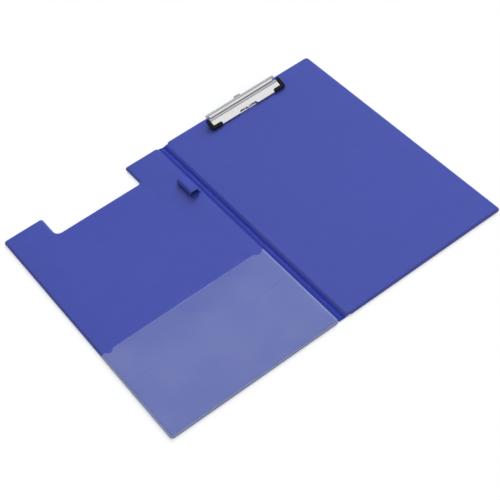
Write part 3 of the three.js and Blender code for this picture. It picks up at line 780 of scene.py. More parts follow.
class FolderStageSettings(bpy.types.PropertyGroup):
    """Light, floor and camera. The dark parts of the studio are seen in reflections only."""

    key_power: number("Key", "Share of white that the soft light gives a level face", 0.43)
    key_height: number("Key height", "Degrees that it stands over the table", 25.0,
                       min=5.0, max=90.0)
    key_side: number("Key side", "Degrees that it stands round from the right", 45.0, max=360.0)
    key_softness: number("Key softness", "Degrees that the light spans", 32.0, max=90.0)
    dark_side: number("Dark side", "Brightness of the side away from the light", 0.22, max=1.0)
    dark_back: number("Dark back", "Brightness low down behind the folder", 0.13, max=1.0)
    dark_front: number("Dark front", "Brightness over the camera", 0.32, max=1.0)
    room_light: number("Room", "Strength of the light from all round", 0.59)
    floor: colour("Floor", "Colour of the floor", (0.86, 0.865, 0.87))
    floor_glow: number("Floor lift", "Brightness added to the floor as it is seen", 0.13)
    lens: length("Lens", "The camera's focal length", 91.47)


# The panels' sheets, with the long slopes that lead down to the spine


# (distance from the folder's middle, height) of the sheet beside the spine, and across its ridge
BOARD_SLOPE = in_mm(curve_through([
    (3.0, 1.50), (3.6, 1.80), (4.2, 2.13), (4.8, 2.42), (5.4, 2.61), (6.0, 2.68), (6.8, 2.70),
    (10.1, 2.70)], 4))
COVER_SLOPE = in_mm(curve_through([
    (4.0, 1.62), (4.6, 1.34), (5.3, 1.00), (6.0, 0.76), (6.6, 0.78), (7.1, 1.05), (7.6, 1.50),
    (8.1, 1.98), (8.8, 2.46), (9.5, 2.67), (10.1, 2.70)], 4))
RIDGE = in_mm(curve_through([
    (-4.0, 1.62), (-3.7, 1.80), (-3.3, 1.86), (-2.8, 1.80), (-2.2, 1.60), (-1.6, 1.34),
    (-1.0, 1.05), (-0.5, 0.85), (0.0, 0.74), (0.6, 0.82), (1.4, 1.02), (2.2, 1.22),
    (3.0, 1.50)], 4))
# the two welded grooves, where shade is painted into the sheet's colour: middle, half width, depth of the painted
# shade
GROOVE_SHADES = ((-6.9 * MM, 2.8 * MM, 0.36), (0.0, 4.4 * MM, 1.0))
SLOPE_START, SLOPE_STOP = BOARD_LOW.y + 0.8 * MM, BOARD_HIGH.y - 3.0 * MM
# share of the run and share of the rise, for a sheet's edge from its rim up to its face
EDGE_RISE = ((0.0, 0.0), (0.06, 0.03), (0.12, 0.12), (0.18, 0.27), (0.25, 0.45), (0.33, 0.61),
             (0.43, 0.76), (0.55, 0.87), (0.70, 0.95), (0.85, 0.985), (1.0, 1.0))
EDGE_ROUND = 0.06 * MM


def formed_sheet(name, outline, profile):
    """A sheet pressed over a stiffener: profile is (inset, height) pairs from rim up to face."""
    piece = shape(name, outline, lambda a, b: (a, b, profile[0][1]))
    face_up(piece)
    edit(piece, "FACE")
    for (inset, height), (next_inset, next_height) in zip(profile, profile[1:]):
        bpy.ops.mesh.inset(thickness=next_inset - inset, depth=next_height - height,
                           use_even_offset=True)
    rest()
    face_up(piece)
    return piece


def edge_profile(sizes, high, standoff=0.0, setback=0.0):
    """Insets and heights over a panel's edge, for a sheet that stands off it by a distance."""
    low = sizes.rim_height
    line = [(0.0, low), (sizes.rim_width / 2, low)]
    line += [(sizes.rim_width + sizes.edge_run * a, low + (high - low) * b) for a, b in EDGE_RISE]
    if standoff:
        line = beside(line, standoff)
    start = [(setback, low + standoff - EDGE_ROUND), (setback + EDGE_ROUND, low + standoff)]
    line = start + [spot for spot in line if spot[0] > setback + 2 * EDGE_ROUND]
    return [(inset - setback, height) for inset, height in line]


def slope_beside(x):
    return BOARD_SLOPE if x > 0 else COVER_SLOPE


def slope_share(sizes, y):
    """How much of the slope to the spine there is along the page: none at the welded ends."""
    return (soft_step((y - SLOPE_START) / sizes.slope_end)
            * soft_step((SLOPE_STOP - y) / sizes.slope_end))


def slope_stations(sizes, low, high):
    """Places along the page where a sheet is divided so that its slope can fade."""
    fades = [sizes.slope_end * share for share in (0.02, 0.15, 0.3, 0.45, 0.6, 0.8, 1.0)]
    spots = [SLOPE_START + fade for fade in fades] + [SLOPE_STOP - fade for fade in fades]
    return sorted(spot for spot in spots if low < spot < high)


def slope_to_spine(piece, sizes, low, high, standoff=0.0):
    """Brings a sheet's edge beside the spine up to the long slope that leads down to the welded groove."""
    cut_across(piece, slope_stations(sizes, low, high), Y)

    def rise(spot):
        reach, slope = abs(spot.x), slope_beside(spot.x)
        if reach > slope[-1][0] + NEAR or not SLOPE_START < spot.y < SLOPE_STOP:
            return 0.0
        goal = level_on(slope, reach) + standoff
        return (goal - spot.z) * slope_share(sizes, spot.y) if goal > spot.z else 0.0

    lift(piece, rise)


def mark_rim(piece, height):
    """Marks a welded rim: the vertices below a height."""
    mark(piece, "rim", lambda spot: float(spot.z < height))


def mark_groove_shade(piece):
    """Marks the welded grooves on either side of the spine's ridge, where the finishes paint shade into the
    colour.
    """
    mark(piece, "weld", lambda spot: max(
        depth * soft_step(1 - abs(spot.x - middle) / half) for middle, half, depth in GROOVE_SHADES))


def panel_outline(low, high, radius, setback=0.0, notch=()):
    """Corners of a panel's sheet, which can be set back, with those of a notch in its top edge."""
    left, bottom = low.x + setback, low.y + setback
    right, top = high.x - setback, high.y - setback
    radius -= setback
    return [(left, bottom, radius), (right, bottom, radius), (right, top, radius), *notch,
            (left, top, radius)]


def pressed_sheet(name, sizes, low, high, notch=()):
    """The sheet over one panel, without its marks."""
    outline = panel_outline(low, high, sizes.corner_radius, notch=notch)
    piece = formed_sheet(name, outline, edge_profile(sizes, high.z))
    slope_to_spine(piece, sizes, low.y, high.y)
    thicken(piece, sizes.sheet_thickness)
    return piece


class FOLDER_OT_board_sheet(bpy.types.Operator):
    """Model the blue sheet over the board"""

    bl_idname = "folder.board_sheet"
    bl_label = "Board sheet"

    def execute(self, context):
        sizes, clip = context.scene.folder_panels, context.scene.folder_clip
        piece = pressed_sheet("board_sheet", sizes, BOARD_LOW, BOARD_HIGH)
        for side, _ in SIDES:
            bored(piece, clip.rivet_bore, -3 * MM, 1 * MM, rivet_centre(clip, side))
        mark_rim(piece, sizes.rim_height + NEAR)
        dress(piece, "board_inner_skin", "blue_skin", "board")
        return {"FINISHED"}


class FOLDER_OT_cover_sheet(bpy.types.Operator):
    """Model the blue sheet over the cover, with the notch that clears the clip"""

    bl_idname = "folder.cover_sheet"
    bl_label = "Cover sheet"

    def execute(self, context):
        sizes = context.scene.folder_panels
        middle = (COVER_LOW.x + COVER_HIGH.x) / 2 + sizes.notch_shift
        left, right = middle - sizes.notch_width / 2, middle + sizes.notch_width / 2
        top, bottom = COVER_HIGH.y, COVER_HIGH.y - sizes.notch_depth
        notch = [
            (right, top, sizes.notch_mouth_radius),
            (right, bottom, sizes.notch_spine_radius),
            (left, bottom, sizes.notch_far_radius),
            (left, top, sizes.notch_mouth_radius),
        ]
        piece = pressed_sheet("cover_sheet", sizes, COVER_LOW, COVER_HIGH, notch)
        mark_rim(piece, sizes.rim_height + NEAR)
        mark_groove_shade(piece)
        dress(piece, "cover_inner_skin", "blue_skin", "cover")
        return {"FINISHED"}


def long_solid(name, top, low, stations):
    """A long solid along the page, with a flat underside: top is its upper line, drawn across."""
    loop = [(x, stations[0], z) for x, z in top]
    loop += [(x, stations[0], low) for x, _ in reversed(top)]
    piece = wire(name, loop + loop[:1])
    edit(piece)
    bpy.ops.mesh.remove_doubles(threshold=SAME_SPOT)
    for before, after in zip(stations, stations[1:]):
        draw_out((0, after - before, 0))
    for end in (stations[0], stations[-1]):
        pick(piece, lambda vert: abs(vert.co.y - end) < NEAR)
        bpy.ops.mesh.edge_face_add()
    outward(piece)
    return piece


class FOLDER_OT_spine(bpy.types.Operator):
    """Model the spine's ridge over its stiffener, and the two webs that fold beside it"""

    bl_idname = "folder.spine"
    bl_label = "Spine"

    def fade(self, piece, sizes, base):
        """Lets the slopes and the ridge run out to the flat welded ends."""
        lift(piece, lambda spot: max(spot.z - base, 0.0) * (slope_share(sizes, spot.y) - 1))

    def ridge(self, sizes):
        """The strip's sheet: a rounded ridge between the two welded grooves."""
        low, high = STRIP_LOW.y, STRIP_HIGH.y
        piece = swept("spine_ridge", [(x, low, z) for x, z in RIDGE], (0, high - low, 0))
        stations = slope_stations(sizes, low, high)
        cut_across(piece, [low + 0.5 * MM, *stations, high - 0.5 * MM], Y)
        face_up(piece)
        self.fade(piece, sizes, sizes.rim_height)
        thicken(piece, sizes.sheet_thickness, even=False)
        mark_rim(piece, sizes.rim_height - 0.1 * MM)
        mark_groove_shade(piece)
        dress(piece, "spine_inner_skin", "blue_skin", "spine", "spine_skin", smooth=50)

    def stiffener(self, sizes):
        """The stiff strip inside the ridge, as wide as there is height for it."""
        low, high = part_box("spine_core")
        room = sizes.sheet_thickness + sizes.core_room
        top = [(x, z - room) for x, z in RIDGE
               if -3.5 * MM < x < 0 and z - room > low.z + 0.15 * MM]
        end = 8 * MM
        piece = long_solid("spine_stiffener", top, low.z, [low.y + end, high.y - end])
        ease(piece, 0.08 * MM)
        dress(piece, "spine_core", "panel_core", "spine")

    def web(self, sizes, panel, side, finish):
        """The welded sheets from the strip's edge up the slope to the panel's edge."""
        node = panel + "_side_fold"
        low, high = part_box(node)
        slope = slope_beside(side)
        lap, steps = 0.06 * MM, 24
        start, end = slope[0][0], BOARD_LOW.x + lap
        spots = [start + (end - start) * step / steps for step in range(steps + 1)]
        stations = [low.y, *slope_stations(sizes, low.y, high.y), high.y]
        top = [(side * x, level_on(slope, x)) for x in spots]
        piece = long_solid(panel + "_side_web", top, sizes.web_low, stations)
        self.fade(piece, sizes, sizes.rim_height - 0.03 * MM)
        mark_groove_shade(piece)
        dress(piece, node, "blue_skin", finish=finish, smooth=40)
        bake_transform(piece)

    def execute(self, context):
        sizes = context.scene.folder_panels
        self.ridge(sizes)
        self.stiffener(sizes)
        self.web(sizes, "board", 1, "blue_skin")
        self.web(sizes, "cover", -1, "spine_skin")
        return {"FINISHED"}


# The pocket and the pen loop


class FOLDER_OT_pocket(bpy.types.Operator):
    """Model the clear pocket film, welded on three sides and open along its mouth"""

    bl_idname = "folder.pocket"
    bl_label = "Pocket film"

    open_length = 52 * MM
    rows, columns = 10, 24

    def execute(self, context):
        sizes, pocket = context.scene.folder_panels, context.scene.folder_pockets
        setback = pocket.film_setback
        standoff = pocket.film_gap + pocket.film_thickness
        outline = panel_outline(COVER_LOW, COVER_HIGH, sizes.corner_radius, setback)
        profile = edge_profile(sizes, COVER_HIGH.z, standoff, setback)
        piece = formed_sheet("pocket_film_sheet", outline, profile)
        cut_across(piece, [FILM_HIGH.y], Y, clear_outer=True)
        rows = [FILM_HIGH.y - self.open_length * (step / self.rows) ** 1.5
                for step in range(1, self.rows + 1)]
        cut_across(piece, rows, Y)
        width = FILM_HIGH.x - FILM_LOW.x
        columns = range(1, self.columns)
        cut_across(piece, [FILM_LOW.x + width * step / self.columns for step in columns], X)
        slope_to_spine(piece, sizes, FILM_LOW.y, FILM_HIGH.y - self.open_length, standoff)
        lift(piece, lambda spot: self.opening(pocket, spot))
        thicken(piece, pocket.film_thickness)
        for middle in (FILM_LOW.x + 10.2 * MM, FILM_HIGH.x - 8.2 * MM):
            self.scoop(piece, pocket, middle)
        clear_slivers(piece, 0.01 * MM)
        rise = FILM_HIGH.z - sizes.rim_height - standoff
        mark(piece, "rim", lambda spot: min(1.0, max(0.0, (FILM_HIGH.z - spot.z) / rise)))
        mark_groove_shade(piece)
        dress(piece, "pocket_film", "clear_film", "cover", smooth=50)
        return {"FINISHED"}

    def opening(self, pocket, spot):
        """How far the film stands off the cover near its mouth, where three sides hold it."""
        hem = 4 * MM
        share = (spot.x - FILM_LOW.x - hem) / (FILM_HIGH.x - FILM_LOW.x - 2 * hem)
        fade = 1 - (FILM_HIGH.y - spot.y) / self.open_length
        if not 0 < share < 1 or fade <= 0:
            return 0.0
        ripple = 1 + 0.35 * math.sin(share * 19 + spot.y / (20 * MM))
        return pocket.film_lift * math.sin(math.pi * share) ** 0.8 * fade * fade * ripple

    def scoop(self, piece, pocket, middle):
        rest()
        bpy.ops.mesh.primitive_cylinder_add(
            vertices=48, radius=pocket.scoop_width / 2, depth=12 * MM,
            location=(middle, FILM_HIGH.y, 2 * MM),
        )
        tool = bpy.context.object
        edit(tool)
        squash = (1, 2 * pocket.scoop_depth / pocket.scoop_width, 1)
        bpy.ops.transform.resize(value=squash, center_override=tool.location)
        rest()
        combine(piece, tool, "DIFFERENCE")


class FOLDER_OT_pen_loop(bpy.types.Operator):
    """Model the pen loop: one band led round and welded down on its own tab"""

    bl_idname = "folder.pen_loop"
    bl_label = "Pen loop"

    def execute(self, context):
        pocket = context.scene.folder_pockets
        half = pocket.band_thickness / 2
        foot, top = LOOP_LOW.z + half + 0.02 * MM, LOOP_HIGH.z - half
        second = foot + pocket.band_thickness + 0.03 * MM
        tab = LOOP_HIGH.x
        left, right = LOOP_LOW.x + half, tab - pocket.loop_tab - half
        under, over = pocket.loop_foot_radius - half, pocket.loop_top_radius - half
        bend = 1.1 * MM
        dips = [(tab - back * MM, level_on(COVER_SLOPE, -tab + back * MM) - COVER_HIGH.z)
                for back in (0, 0.4, 0.8, 1.3)]
        line = [(x, foot + dip) for x, dip in dips] + [(right, foot), ((left + right) / 2, foot)]
        line += arc((left + under, foot + under), under, 270, 180, 7)
        line += arc((left + over, top - over), over, 180, 90, 9)
        line += arc((right - over, top - over), over, 90, 0, 9)
        line += arc((right + bend, second + bend), bend, 180, 270, 6)
        line += [(x, second + dip) for x, dip in reversed(dips)]
        line = [(x, LOOP_LOW.y, z) for x, z in line]
        piece = swept("pen_loop_band", line, (0, LOOP_HIGH.y - LOOP_LOW.y, 0))
        thicken(piece, pocket.band_thickness, offset=0.0)
        outward(piece)
        ease(piece, 0.12 * MM, 3)
        mark(piece, "rim", lambda spot: 1.0 if spot.x > tab - 2.0 * MM else 0.0)
        dress(piece, "pen_loop", "blue_skin", "cover", smooth=40)
        return {"FINISHED"}


# The clip


class FOLDER_OT_base_plate(bpy.types.Operator):
    """Model the clip's base plate, with its ears and the bridge over the hanging tab"""

    bl_idname = "folder.base_plate"
    bl_label = "Base plate"

    def execute(self, context):
        sizes = context.scene.folder_clip
        low = 0.05 * MM
        inner = sizes.crest_half_width + 0.4 * MM
        thick, round_top = 1.0 * MM, 2 * MM
        outer = inner + thick
        half = in_mm([(40, -14.6, 1.2), (40, -9.2, 0.8), (49, -9.2, 1.2), (49, -2.0, 0.4)])
        half += [(outer, -round_top), (outer, round_top)] + in_mm([(49, 2, 0.4), (49, 5.6, 1.2)])
        piece = extruded("clip_plate", mirrored(half), on_clip(low), (0, 0, sizes.steel))
        for start in (-outer, inner):
            outline = [(-round_top, low), (round_top, low)]
            outline += arc((0, PIN_HEIGHT), round_top, 0, 180, 18)
            ear = extruded("ear", outline, across_clip(start), (thick, 0, 0))
            combine(piece, ear, "UNION")
        ease(piece, 0.16 * MM, angle=40)
        self.bridge(piece, sizes, low)
        for side, _ in SIDES:
            bored(piece, sizes.rivet_bore, -2 * MM, 3 * MM, rivet_centre(sizes, side))
        dress(piece, "clip_base_plate", "plated_steel", "board")
        return {"FINISHED"}

    def bridge(self, piece, sizes, low):
        """A small raised loop of steel that the hanging tab slides through."""
        wall, room, steel = 0.6 * MM, 0.3 * MM, 0.8 * MM
        inside = sizes.tab_width / 2 + room
        outside, ceiling = inside + wall, low + sizes.steel + room + steel
        corners = [(-outside, low), (-inside, low), (-inside, ceiling, room),
                   (inside, ceiling, room), (inside, low), (outside, low),
                   (outside, ceiling + wall, 0.7 * MM), (-outside, ceiling + wall, 0.7 * MM)]
        front = CLIP.y + 3.2 * MM
        loop = extruded("bridge", corners, lambda a, c: (CLIP.x + a, front, CLIP.z + c),
                        (0, 2.2 * MM, 0))
        combine(piece, loop, "UNION")


class FOLDER_OT_jaw(bpy.types.Operator):
    """Model the sprung jaw: its flat plate, crest, valley, thumb flange and cheeks"""

    bl_idname = "folder.jaw"
    bl_label = "Jaw"

    # (up the page, height) of the steel's middle, from the flat plate over the crest to the tip
    bent = [
        (-6.4, 4.98), (-5.7, 5.28), (-5.0, 5.66), (-4.5, 6.02), (-4.1, 6.36), (-3.75, 6.62),
        (-3.4, 6.74), (-3.0, 6.74), (-2.4, 6.66), (-1.6, 6.54), (-0.8, 6.42), (-0.1, 6.35),
        (0.6, 6.32), (1.3, 6.31), (2.0, 6.34), (2.8, 6.45), (3.4, 6.72), (3.9, 7.12), (4.4, 7.55),
        (4.9, 7.88), (5.35, 8.0), (6.05, 7.8),
    ]

    def section(self, sizes):
        """The jaw's cross section, with its lip and its tip rounded."""
        middle = in_mm([(-15.0, 1.73), (-9.0, 4.0)] + curve_through(self.bent, 5))
        half = sizes.steel / 2
        upper, lower = (beside(middle, side * half)[1:-1] for side in (1, -1))
        lip = arc(middle[0], half, 292, 110, 6)
        tip = arc(middle[-1], half, 80, -98, 6)
        return upper + tip + lower[::-1] + lip

    def plan(self, sizes):
        """The jaw seen from above, with the recess and its nib in the front edge."""
        wide, crest = sizes.jaw_half_width, sizes.crest_half_width
        flange, recess = sizes.flange_half_width, sizes.recess_width / 2
        front, shoulder, valley, over = -15.2 * MM, -2.8 * MM, 3.4 * MM, 3 * MM
        back = front + sizes.recess_depth
        return mirrored([
            (1.0 * MM, back - 1.7 * MM, 0.35 * MM),
            (2.0 * MM, back, 0.4 * MM),
            (recess - 2.5 * MM, back, 1.2 * MM),
            (recess, front - 0.6 * MM),
            (recess, front - over),
            (wide, front - over),
            (wide, front + 0.1 * MM),
            (wide, shoulder, 1.5 * MM),
            (crest, shoulder, 0.6 * MM),
            (crest, valley, 0.5 * MM),
            (flange, valley, 0.6 * MM),
            (flange, 8 * MM),
        ])

    def execute(self, context):
        sizes = context.scene.folder_clip
        crest, over = sizes.crest_half_width, sizes.jaw_half_width + 2 * MM
        piece = extruded("clip_jaw_plate", self.section(sizes), across_clip(-over),
                         (2 * over, 0, 0))
        plan = extruded("jaw_plan", self.plan(sizes), on_clip(-3 * MM), (0, 0, 16 * MM))
        combine(piece, plan, "INTERSECT")
        round_end, bore, reach = 2.3 * MM, 1.32 * MM, 60 * MM
        for start in (-crest, crest - sizes.steel):
            outline = [(round_end, 6.25 * MM), (-round_end, 6.5 * MM)]
            outline += arc((0, PIN_HEIGHT), round_end, 180, 360, 18)
            cheek = extruded("cheek", outline, across_clip(start), (sizes.steel, 0, 0))
            bored(cheek, bore, -reach, reach, (CLIP.x, CLIP.y, PIN.z), ACROSS)
            combine(piece, cheek, "UNION")
        ease(piece, 0.14 * MM)
        clear_slivers(piece, 0.004 * MM)
        dress(piece, "clip_jaw", "plated_steel", "jaw", smooth=38)
        return {"FINISHED"}


class FOLDER_OT_grips(bpy.types.Operator):
    """Model the two black grips that wrap the jaw's front corners"""

    bl_idname = "folder.grips"
    bl_label = "Corner grips"

    slope = math.atan2(6.2 - 1.65, 15.2 - 3.2)

    def execute(self, context):
        for side, name in SIDES:
            self.grip(context.scene.folder_clip, side, name)
        return {"FINISHED"}

    def grip(self, sizes, side, name):
        """One grip, drawn flat along the jaw's plate from its front corner and then tilted."""
        wall, below, above = 0.9 * MM, 1.5 * MM, 1.9 * MM
        outer, arm = sizes.jaw_half_width + wall, sizes.grip_arm
        reach, length = 16.8 * MM, 14.5 * MM / math.cos(self.slope)
        corners = [
            (outer - reach, -wall, 2.2 * MM),
            (outer, -wall, 2.4 * MM),
            (outer, length, 2.2 * MM),
            (outer - arm, length, 2.2 * MM),
            (outer - arm, arm - wall, 0.8 * MM),
            (outer - reach, arm - wall, 2.2 * MM),
        ]
        corners = [(side * a, b, radius) for a, b, radius in corners]
        piece = extruded(name + "_grip", corners, lambda a, b: (a, b, -below),
                         (0, 0, above + below))
        ease(piece, sizes.grip_round, 4)
        half, gap = sizes.steel / 2 + 0.1 * MM, 0.1 * MM
        near, far, back = side * 20 * MM, side * (sizes.jaw_half_width + gap), 13.6 * MM
        slot = extruded("slot", [(near, -gap), (far, -gap), (far, back), (near, back)],
                        lambda a, b: (a, b, -half), (0, 0, 2 * half))
        combine(piece, slot, "DIFFERENCE")
        take(piece)
        place = Matrix.Translation(CLIP + Vector((0, -15.2 * MM, 1.65 * MM)))
        piece.matrix_world = place @ Matrix.Rotation(self.slope, 4, "X")
        bpy.ops.object.transform_apply(location=True, rotation=True, scale=True)
        edit(piece)
        floor = (0, 0, CLIP.z + 0.3 * MM)
        bpy.ops.mesh.bisect(plane_co=floor, plane_no=UP, threshold=SAME_SPOT, clear_inner=True,
                            use_fill=True)
        outward(piece)
        dress(piece, name + "_corner_grip", "black_plastic", "jaw", smooth=40)


class FOLDER_OT_springs(bpy.types.Operator):
    """Model the two torsion springs wound round the pin"""

    bl_idname = "folder.springs"
    bl_label = "Torsion springs"

    turns = 5.5
    steps = 88

    def execute(self, context):
        for side, name in SIDES:
            self.spring(context.scene.folder_clip, side, name)
        return {"FINISHED"}

    def spring(self, sizes, side, name):
        """A leg on the base plate, the turns, and a leg under the jaw's flange."""
        centre, span = side * sizes.spring_spread, sizes.coil_pitch * self.turns
        start = CLIP.x + centre - span / 2
        rest()
        bpy.ops.mesh.primitive_circle_add(
            vertices=sizes.wire_sides, radius=sizes.wire_radius, location=(start, PIN.y, PIN.z),
            rotation=(QUARTER, 0, 0),
        )
        piece = bpy.context.object
        piece.name = piece.data.name = name + "_spring"
        bpy.ops.object.transform_apply(location=False, rotation=True, scale=False)
        edit(piece)
        bpy.ops.transform.translate(value=(0, 0, -sizes.coil_radius))
        modify(piece, "SCREW", axis="X", angle=-self.turns * 2 * math.pi, screw_offset=span,
               steps=self.steps, render_steps=self.steps, use_merge_vertices=False)
        take(piece)
        bpy.ops.object.transform_apply(location=True, rotation=True, scale=True)
        lower = Vector((start, PIN.y, PIN.z - sizes.coil_radius))
        upper = Vector((start + span, PIN.y, PIN.z + sizes.coil_radius))
        self.leg(piece, sizes, lower, CLIP + Vector((centre - span / 2, 5.2 * MM, 1.4 * MM)))
        self.leg(piece, sizes, upper, CLIP + Vector((centre + span / 2, 3.6 * MM, 5.2 * MM)))
        outward(piece)
        dress(piece, name + "_torsion_spring", "spring_steel", smooth=60)
        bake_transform(piece)

    def leg(self, piece, sizes, root, tip):
        """Draws the wire's open end out to the leg's tip and closes it."""
        reach, parts = sizes.wire_radius * 1.05, 3
        edit(piece)
        pick(piece, lambda vert: vert.is_boundary and (vert.co - root).length < reach
             and abs(vert.co.y - root.y) < NEAR)
        for _ in range(parts):
            draw_out((tip - root) / parts)
        bpy.ops.mesh.edge_face_add()
        rest()


class FOLDER_OT_pin(bpy.types.Operator):
    """Model the pivot pin, the rivets and their clinched washers"""

    bl_idname = "folder.pin_and_rivets"
    bl_label = "Pin and rivets"

    # (radius, height over the board) round the rivets and their washers, in millimetres
    rivet_head = [(0, -2.6), (1.2, -2.6), (1.5, -2.4), (1.5, 0.9), (2.65, 0.9), (2.8, 1.0)]
    dome_radius, dome_foot, dome_height = 2.8, 0.95, 0.85
    washer = [(1.7, -2.36), (1.7, -2.55), (1.95, -2.67), (3.2, -2.67), (3.4, -2.6), (3.4, -2.36),
              (1.7, -2.36)]

    def execute(self, context):
        sizes = context.scene.folder_clip
        self.pin()
        angles = map(math.radians, range(15, 90, 15))
        dome = [(self.dome_radius * math.cos(a), self.dome_foot + self.dome_height * math.sin(a))
                for a in angles]
        head = in_mm(self.rivet_head + dome + [(0, self.dome_foot + self.dome_height)])
        for side, name in SIDES:
            centre = rivet_centre(sizes, side)
            rivet = turned(name + "_rivet_head", head, centre)
            dress(rivet, name + "_rivet", "plated_steel", "board")
            washer = turned(name + "_washer", in_mm(self.washer), centre)
            dress(washer, name + "_rivet_washer", "plated_steel", "board")
        return {"FINISHED"}

    def pin(self):
        """The pin, with a rounded head at each end."""
        half = (PIN_HIGH.x - PIN_LOW.x) / 2
        neck = half - 0.7 * MM
        ends = [(1.2, neck), (1.5, neck), (1.7, neck + 0.12 * MM), (1.7, half - 0.35 * MM),
                (1.45, half - 0.12 * MM), (0.8, half - 0.02 * MM), (0.0, half)]
        profile = [(radius * MM, -height) for radius, height in reversed(ends)]
        profile += [(radius * MM, height) for radius, height in ends]
        dress(turned("pivot_pin", profile, PIN, ACROSS), "clip_pivot_pin", "spring_steel", "board")


class FOLDER_OT_hanging_tab(bpy.types.Operator):
    """Model the hanging tab that slides out of the clip"""

    bl_idname = "folder.hanging_tab"
    bl_label = "Hanging tab"

    # (up the page, height) of the steel's middle, where it rises over the board's edge
    bent = [(9.8, 1.4), (10.4, 1.65), (11.0, 2.5), (11.5, 3.2), (12.0, 3.45), (12.9, 3.22),
            (13.7, 3.0)]

    def execute(self, context):
        sizes = context.scene.folder_clip
        half, head, inner = sizes.tab_width / 2, 7 * MM, -11.6 * MM
        middle = [(inner, 1.4 * MM)] + in_mm(curve_through(self.bent, 4))
        piece = extruded("hanging_tab_strip", band(middle, sizes.steel), across_clip(-head),
                         (2 * head, 0, 0))
        plan = mirrored([(head, inner, 0.8 * MM), (head, -9.4 * MM, 0.8 * MM),
                         (half, -9.4 * MM, 0.3 * MM), (half, 13.84 * MM, 2 * MM)])
        combine(piece, extruded("tab_plan", plan, on_clip(0), (0, 0, 8 * MM)), "INTERSECT")
        ease(piece, 0.14 * MM)
        bored(piece, sizes.tab_hole, 0, 4 * MM, (CLIP.x, CLIP.y + 6.2 * MM, CLIP.z))
        dress(piece, "hanging_tab", "plated_steel", "tab")
        return {"FINISHED"}


class FOLDER_OT_carried_pieces(bpy.types.Operator):
    """Finish the frame's own solids that still show: the outer sheets and the stiffeners"""

    bl_idname = "folder.carried_pieces"
    bl_label = "Carried pieces"

    def execute(self, context):
        slots = {row["node"]: row["material_slot"] for row in frame["record"]["subparts"]}
        for name, node in frame["nodes"].items():
            if not node.hide_render:
                finish = finish_for(slots[name])
                if not node.material_slots:
                    node.data.materials.append(finish)
                for place in node.material_slots:
                    place.material = finish
        return {"FINISHED"}


# The stage


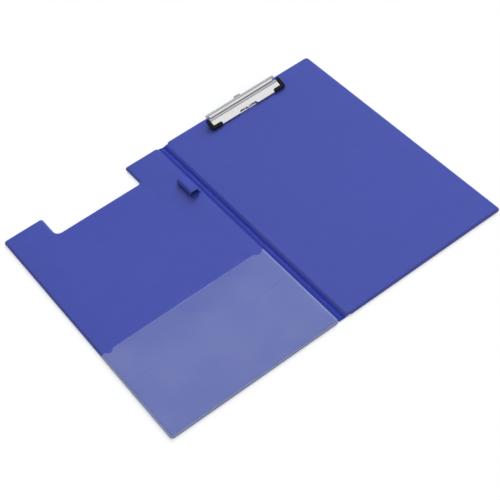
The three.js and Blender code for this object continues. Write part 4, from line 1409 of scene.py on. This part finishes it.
class FOLDER_OT_stage(bpy.types.Operator):
    """Set the floor, the light and the camera"""

    bl_idname = "folder.stage"
    bl_label = "Stage"

    camera_right = (0.79513, -0.59416, -0.12143)
    camera_forward = (0.30600, 0.56595, -0.76555)
    camera_place = (-469.8 * MM, -866.8 * MM, 1128.36 * MM)

    def execute(self, context):
        settings = context.scene.folder_stage
        self.camera(context, settings)
        self.floor(settings)
        self.light(settings)
        self.world(context, settings)
        context.scene.view_settings.view_transform = "Standard"
        return {"FINISHED"}

    def camera(self, context, settings):
        right = Vector(self.camera_right).normalized()
        forward = Vector(self.camera_forward).normalized()
        up = right.cross(forward).normalized()
        matrix = Matrix((right, up, -forward)).transposed().to_4x4()
        matrix.translation = self.camera_place
        rest()
        bpy.ops.object.camera_add()
        camera = context.object
        camera.matrix_world = matrix
        camera.data.sensor_width = 36.0
        camera.data.lens = settings.lens / MM
        camera.data.clip_start = 10 * MM
        context.scene.camera = camera

    def seen_rays(self, nodes):
        """Whether a ray is looked along, directly, in a mirror or through the film."""
        path = nodes.put("ShaderNodeLightPath")
        seen = nodes.maths("MAXIMUM", path["Is Camera Ray"], path["Is Glossy Ray"])
        return path, nodes.maths("MAXIMUM", seen, path["Is Transmission Ray"])

    def floor(self, settings):
        rest()
        bpy.ops.mesh.primitive_plane_add(size=14.0, location=(0, 0, -0.05 * MM))
        floor = bpy.context.object
        floor.name = "floor"
        material, nodes = blank("pale_floor")
        _, seen = self.seen_rays(nodes)
        nodes.feed(base_color=tuple(settings.floor), roughness=0.9, specular_ior_level=0.0,
                   emission_color=(1, 1, 1, 1),
                   emission_strength=nodes.times(seen, settings.floor_glow))
        floor.data.materials.append(material)

    def light(self, settings):
        """A soft light behind and to the right."""
        height, side = math.radians(settings.key_height), math.radians(settings.key_side)
        level = math.cos(height)
        place = Vector((level * math.cos(side), level * math.sin(side), math.sin(height)))
        rest()
        bpy.ops.object.light_add(type="SUN", location=place * 2)
        key = bpy.context.object
        key.name = "key_light"
        key.data.energy = settings.key_power * math.pi / place.z
        key.data.angle = math.radians(settings.key_softness)
        key.visible_glossy = False
        key.rotation_euler = (-place).to_track_quat("-Z", "Y").to_euler()

    def world(self, context, settings):
        """White where the camera looks, even for the light, and with dark walls in reflections."""
        world = bpy.data.worlds.new("studio")
        context.scene.world = world
        world.use_nodes = True
        world.node_tree.nodes.clear()
        nodes = Nodes(world.node_tree)
        path, seen = self.seen_rays(nodes)
        direction = nodes.put("ShaderNodeTexCoord")["Generated"]
        toward = nodes.put("ShaderNodeSeparateXYZ", {0: direction})
        sides = nodes.spread(toward["X"], -0.15, 0.28, settings.dark_side, 1.0)
        ceiling = nodes.spread(toward["Z"], 0.84, 0.93)
        behind = nodes.times(nodes.spread(toward["Y"], -0.1, 0.2),
                             nodes.spread(toward["Z"], 0.49, 0.70, 1.0, 0.0))
        front = nodes.maths("MAXIMUM",
                            nodes.spread(toward["Y"], -0.4, -0.12, settings.dark_front, 1.0),
                            nodes.spread(toward["Y"], -0.66, -0.5, 1.0, 0.0))
        walls = nodes.times(nodes.maths("MAXIMUM", sides, ceiling),
                            nodes.between(behind, 1.0, settings.dark_back))
        strength = nodes.maths("MAXIMUM", nodes.times(walls, front), path["Is Camera Ray"])
        room, white = (
            nodes.put("ShaderNodeBackground", {"Color": (1, 1, 1, 1), "Strength": power})[0]
            for power in (settings.room_light, strength)
        )
        mix = nodes.put("ShaderNodeMixShader", {0: seen, 1: room, 2: white})[0]
        nodes.put("ShaderNodeOutputWorld", {"Surface": mix})


OPERATORS = (
    FOLDER_OT_stage,
    FOLDER_OT_board_sheet,
    FOLDER_OT_cover_sheet,
    FOLDER_OT_spine,
    FOLDER_OT_pocket,
    FOLDER_OT_pen_loop,
    FOLDER_OT_base_plate,
    FOLDER_OT_jaw,
    FOLDER_OT_grips,
    FOLDER_OT_springs,
    FOLDER_OT_pin,
    FOLDER_OT_hanging_tab,
    FOLDER_OT_carried_pieces,
)
SETTINGS = {
    "folder_panels": FolderPanelSizes,
    "folder_pockets": FolderPocketSizes,
    "folder_clip": FolderClipSizes,
    "folder_colours": FolderColours,
    "folder_stage": FolderStageSettings,
}


class FOLDER_PT_build(bpy.types.Panel):
    """Lists the folder's pieces and settings in the sidebar"""

    bl_idname = "FOLDER_PT_build"
    bl_label = "Clipboard folder"
    bl_space_type = "VIEW_3D"
    bl_region_type = "UI"
    bl_category = "Folder"

    def draw(self, context):
        for operator in OPERATORS:
            self.layout.operator(operator.bl_idname)
        for name, group in SETTINGS.items():
            box = self.layout.box()
            for field in group.__annotations__:
                box.prop(getattr(context.scene, name), field)


def register():
    for group in SETTINGS.values():
        bpy.utils.register_class(group)
    for operator in OPERATORS:
        bpy.utils.register_class(operator)
    bpy.utils.register_class(FOLDER_PT_build)
    for name, group in SETTINGS.items():
        setattr(bpy.types.Scene, name, PointerProperty(type=group))


def unregister():
    for name in SETTINGS:
        delattr(bpy.types.Scene, name)
    bpy.utils.unregister_class(FOLDER_PT_build)
    for operator in reversed(OPERATORS):
        bpy.utils.unregister_class(operator)
    for group in reversed(list(SETTINGS.values())):
        bpy.utils.unregister_class(group)


def main():
    register()
    for operator in OPERATORS:
        family, name = operator.bl_idname.split(".")
        getattr(getattr(bpy.ops, family), name)()
    rest()


if __name__ == "__main__":
    main()
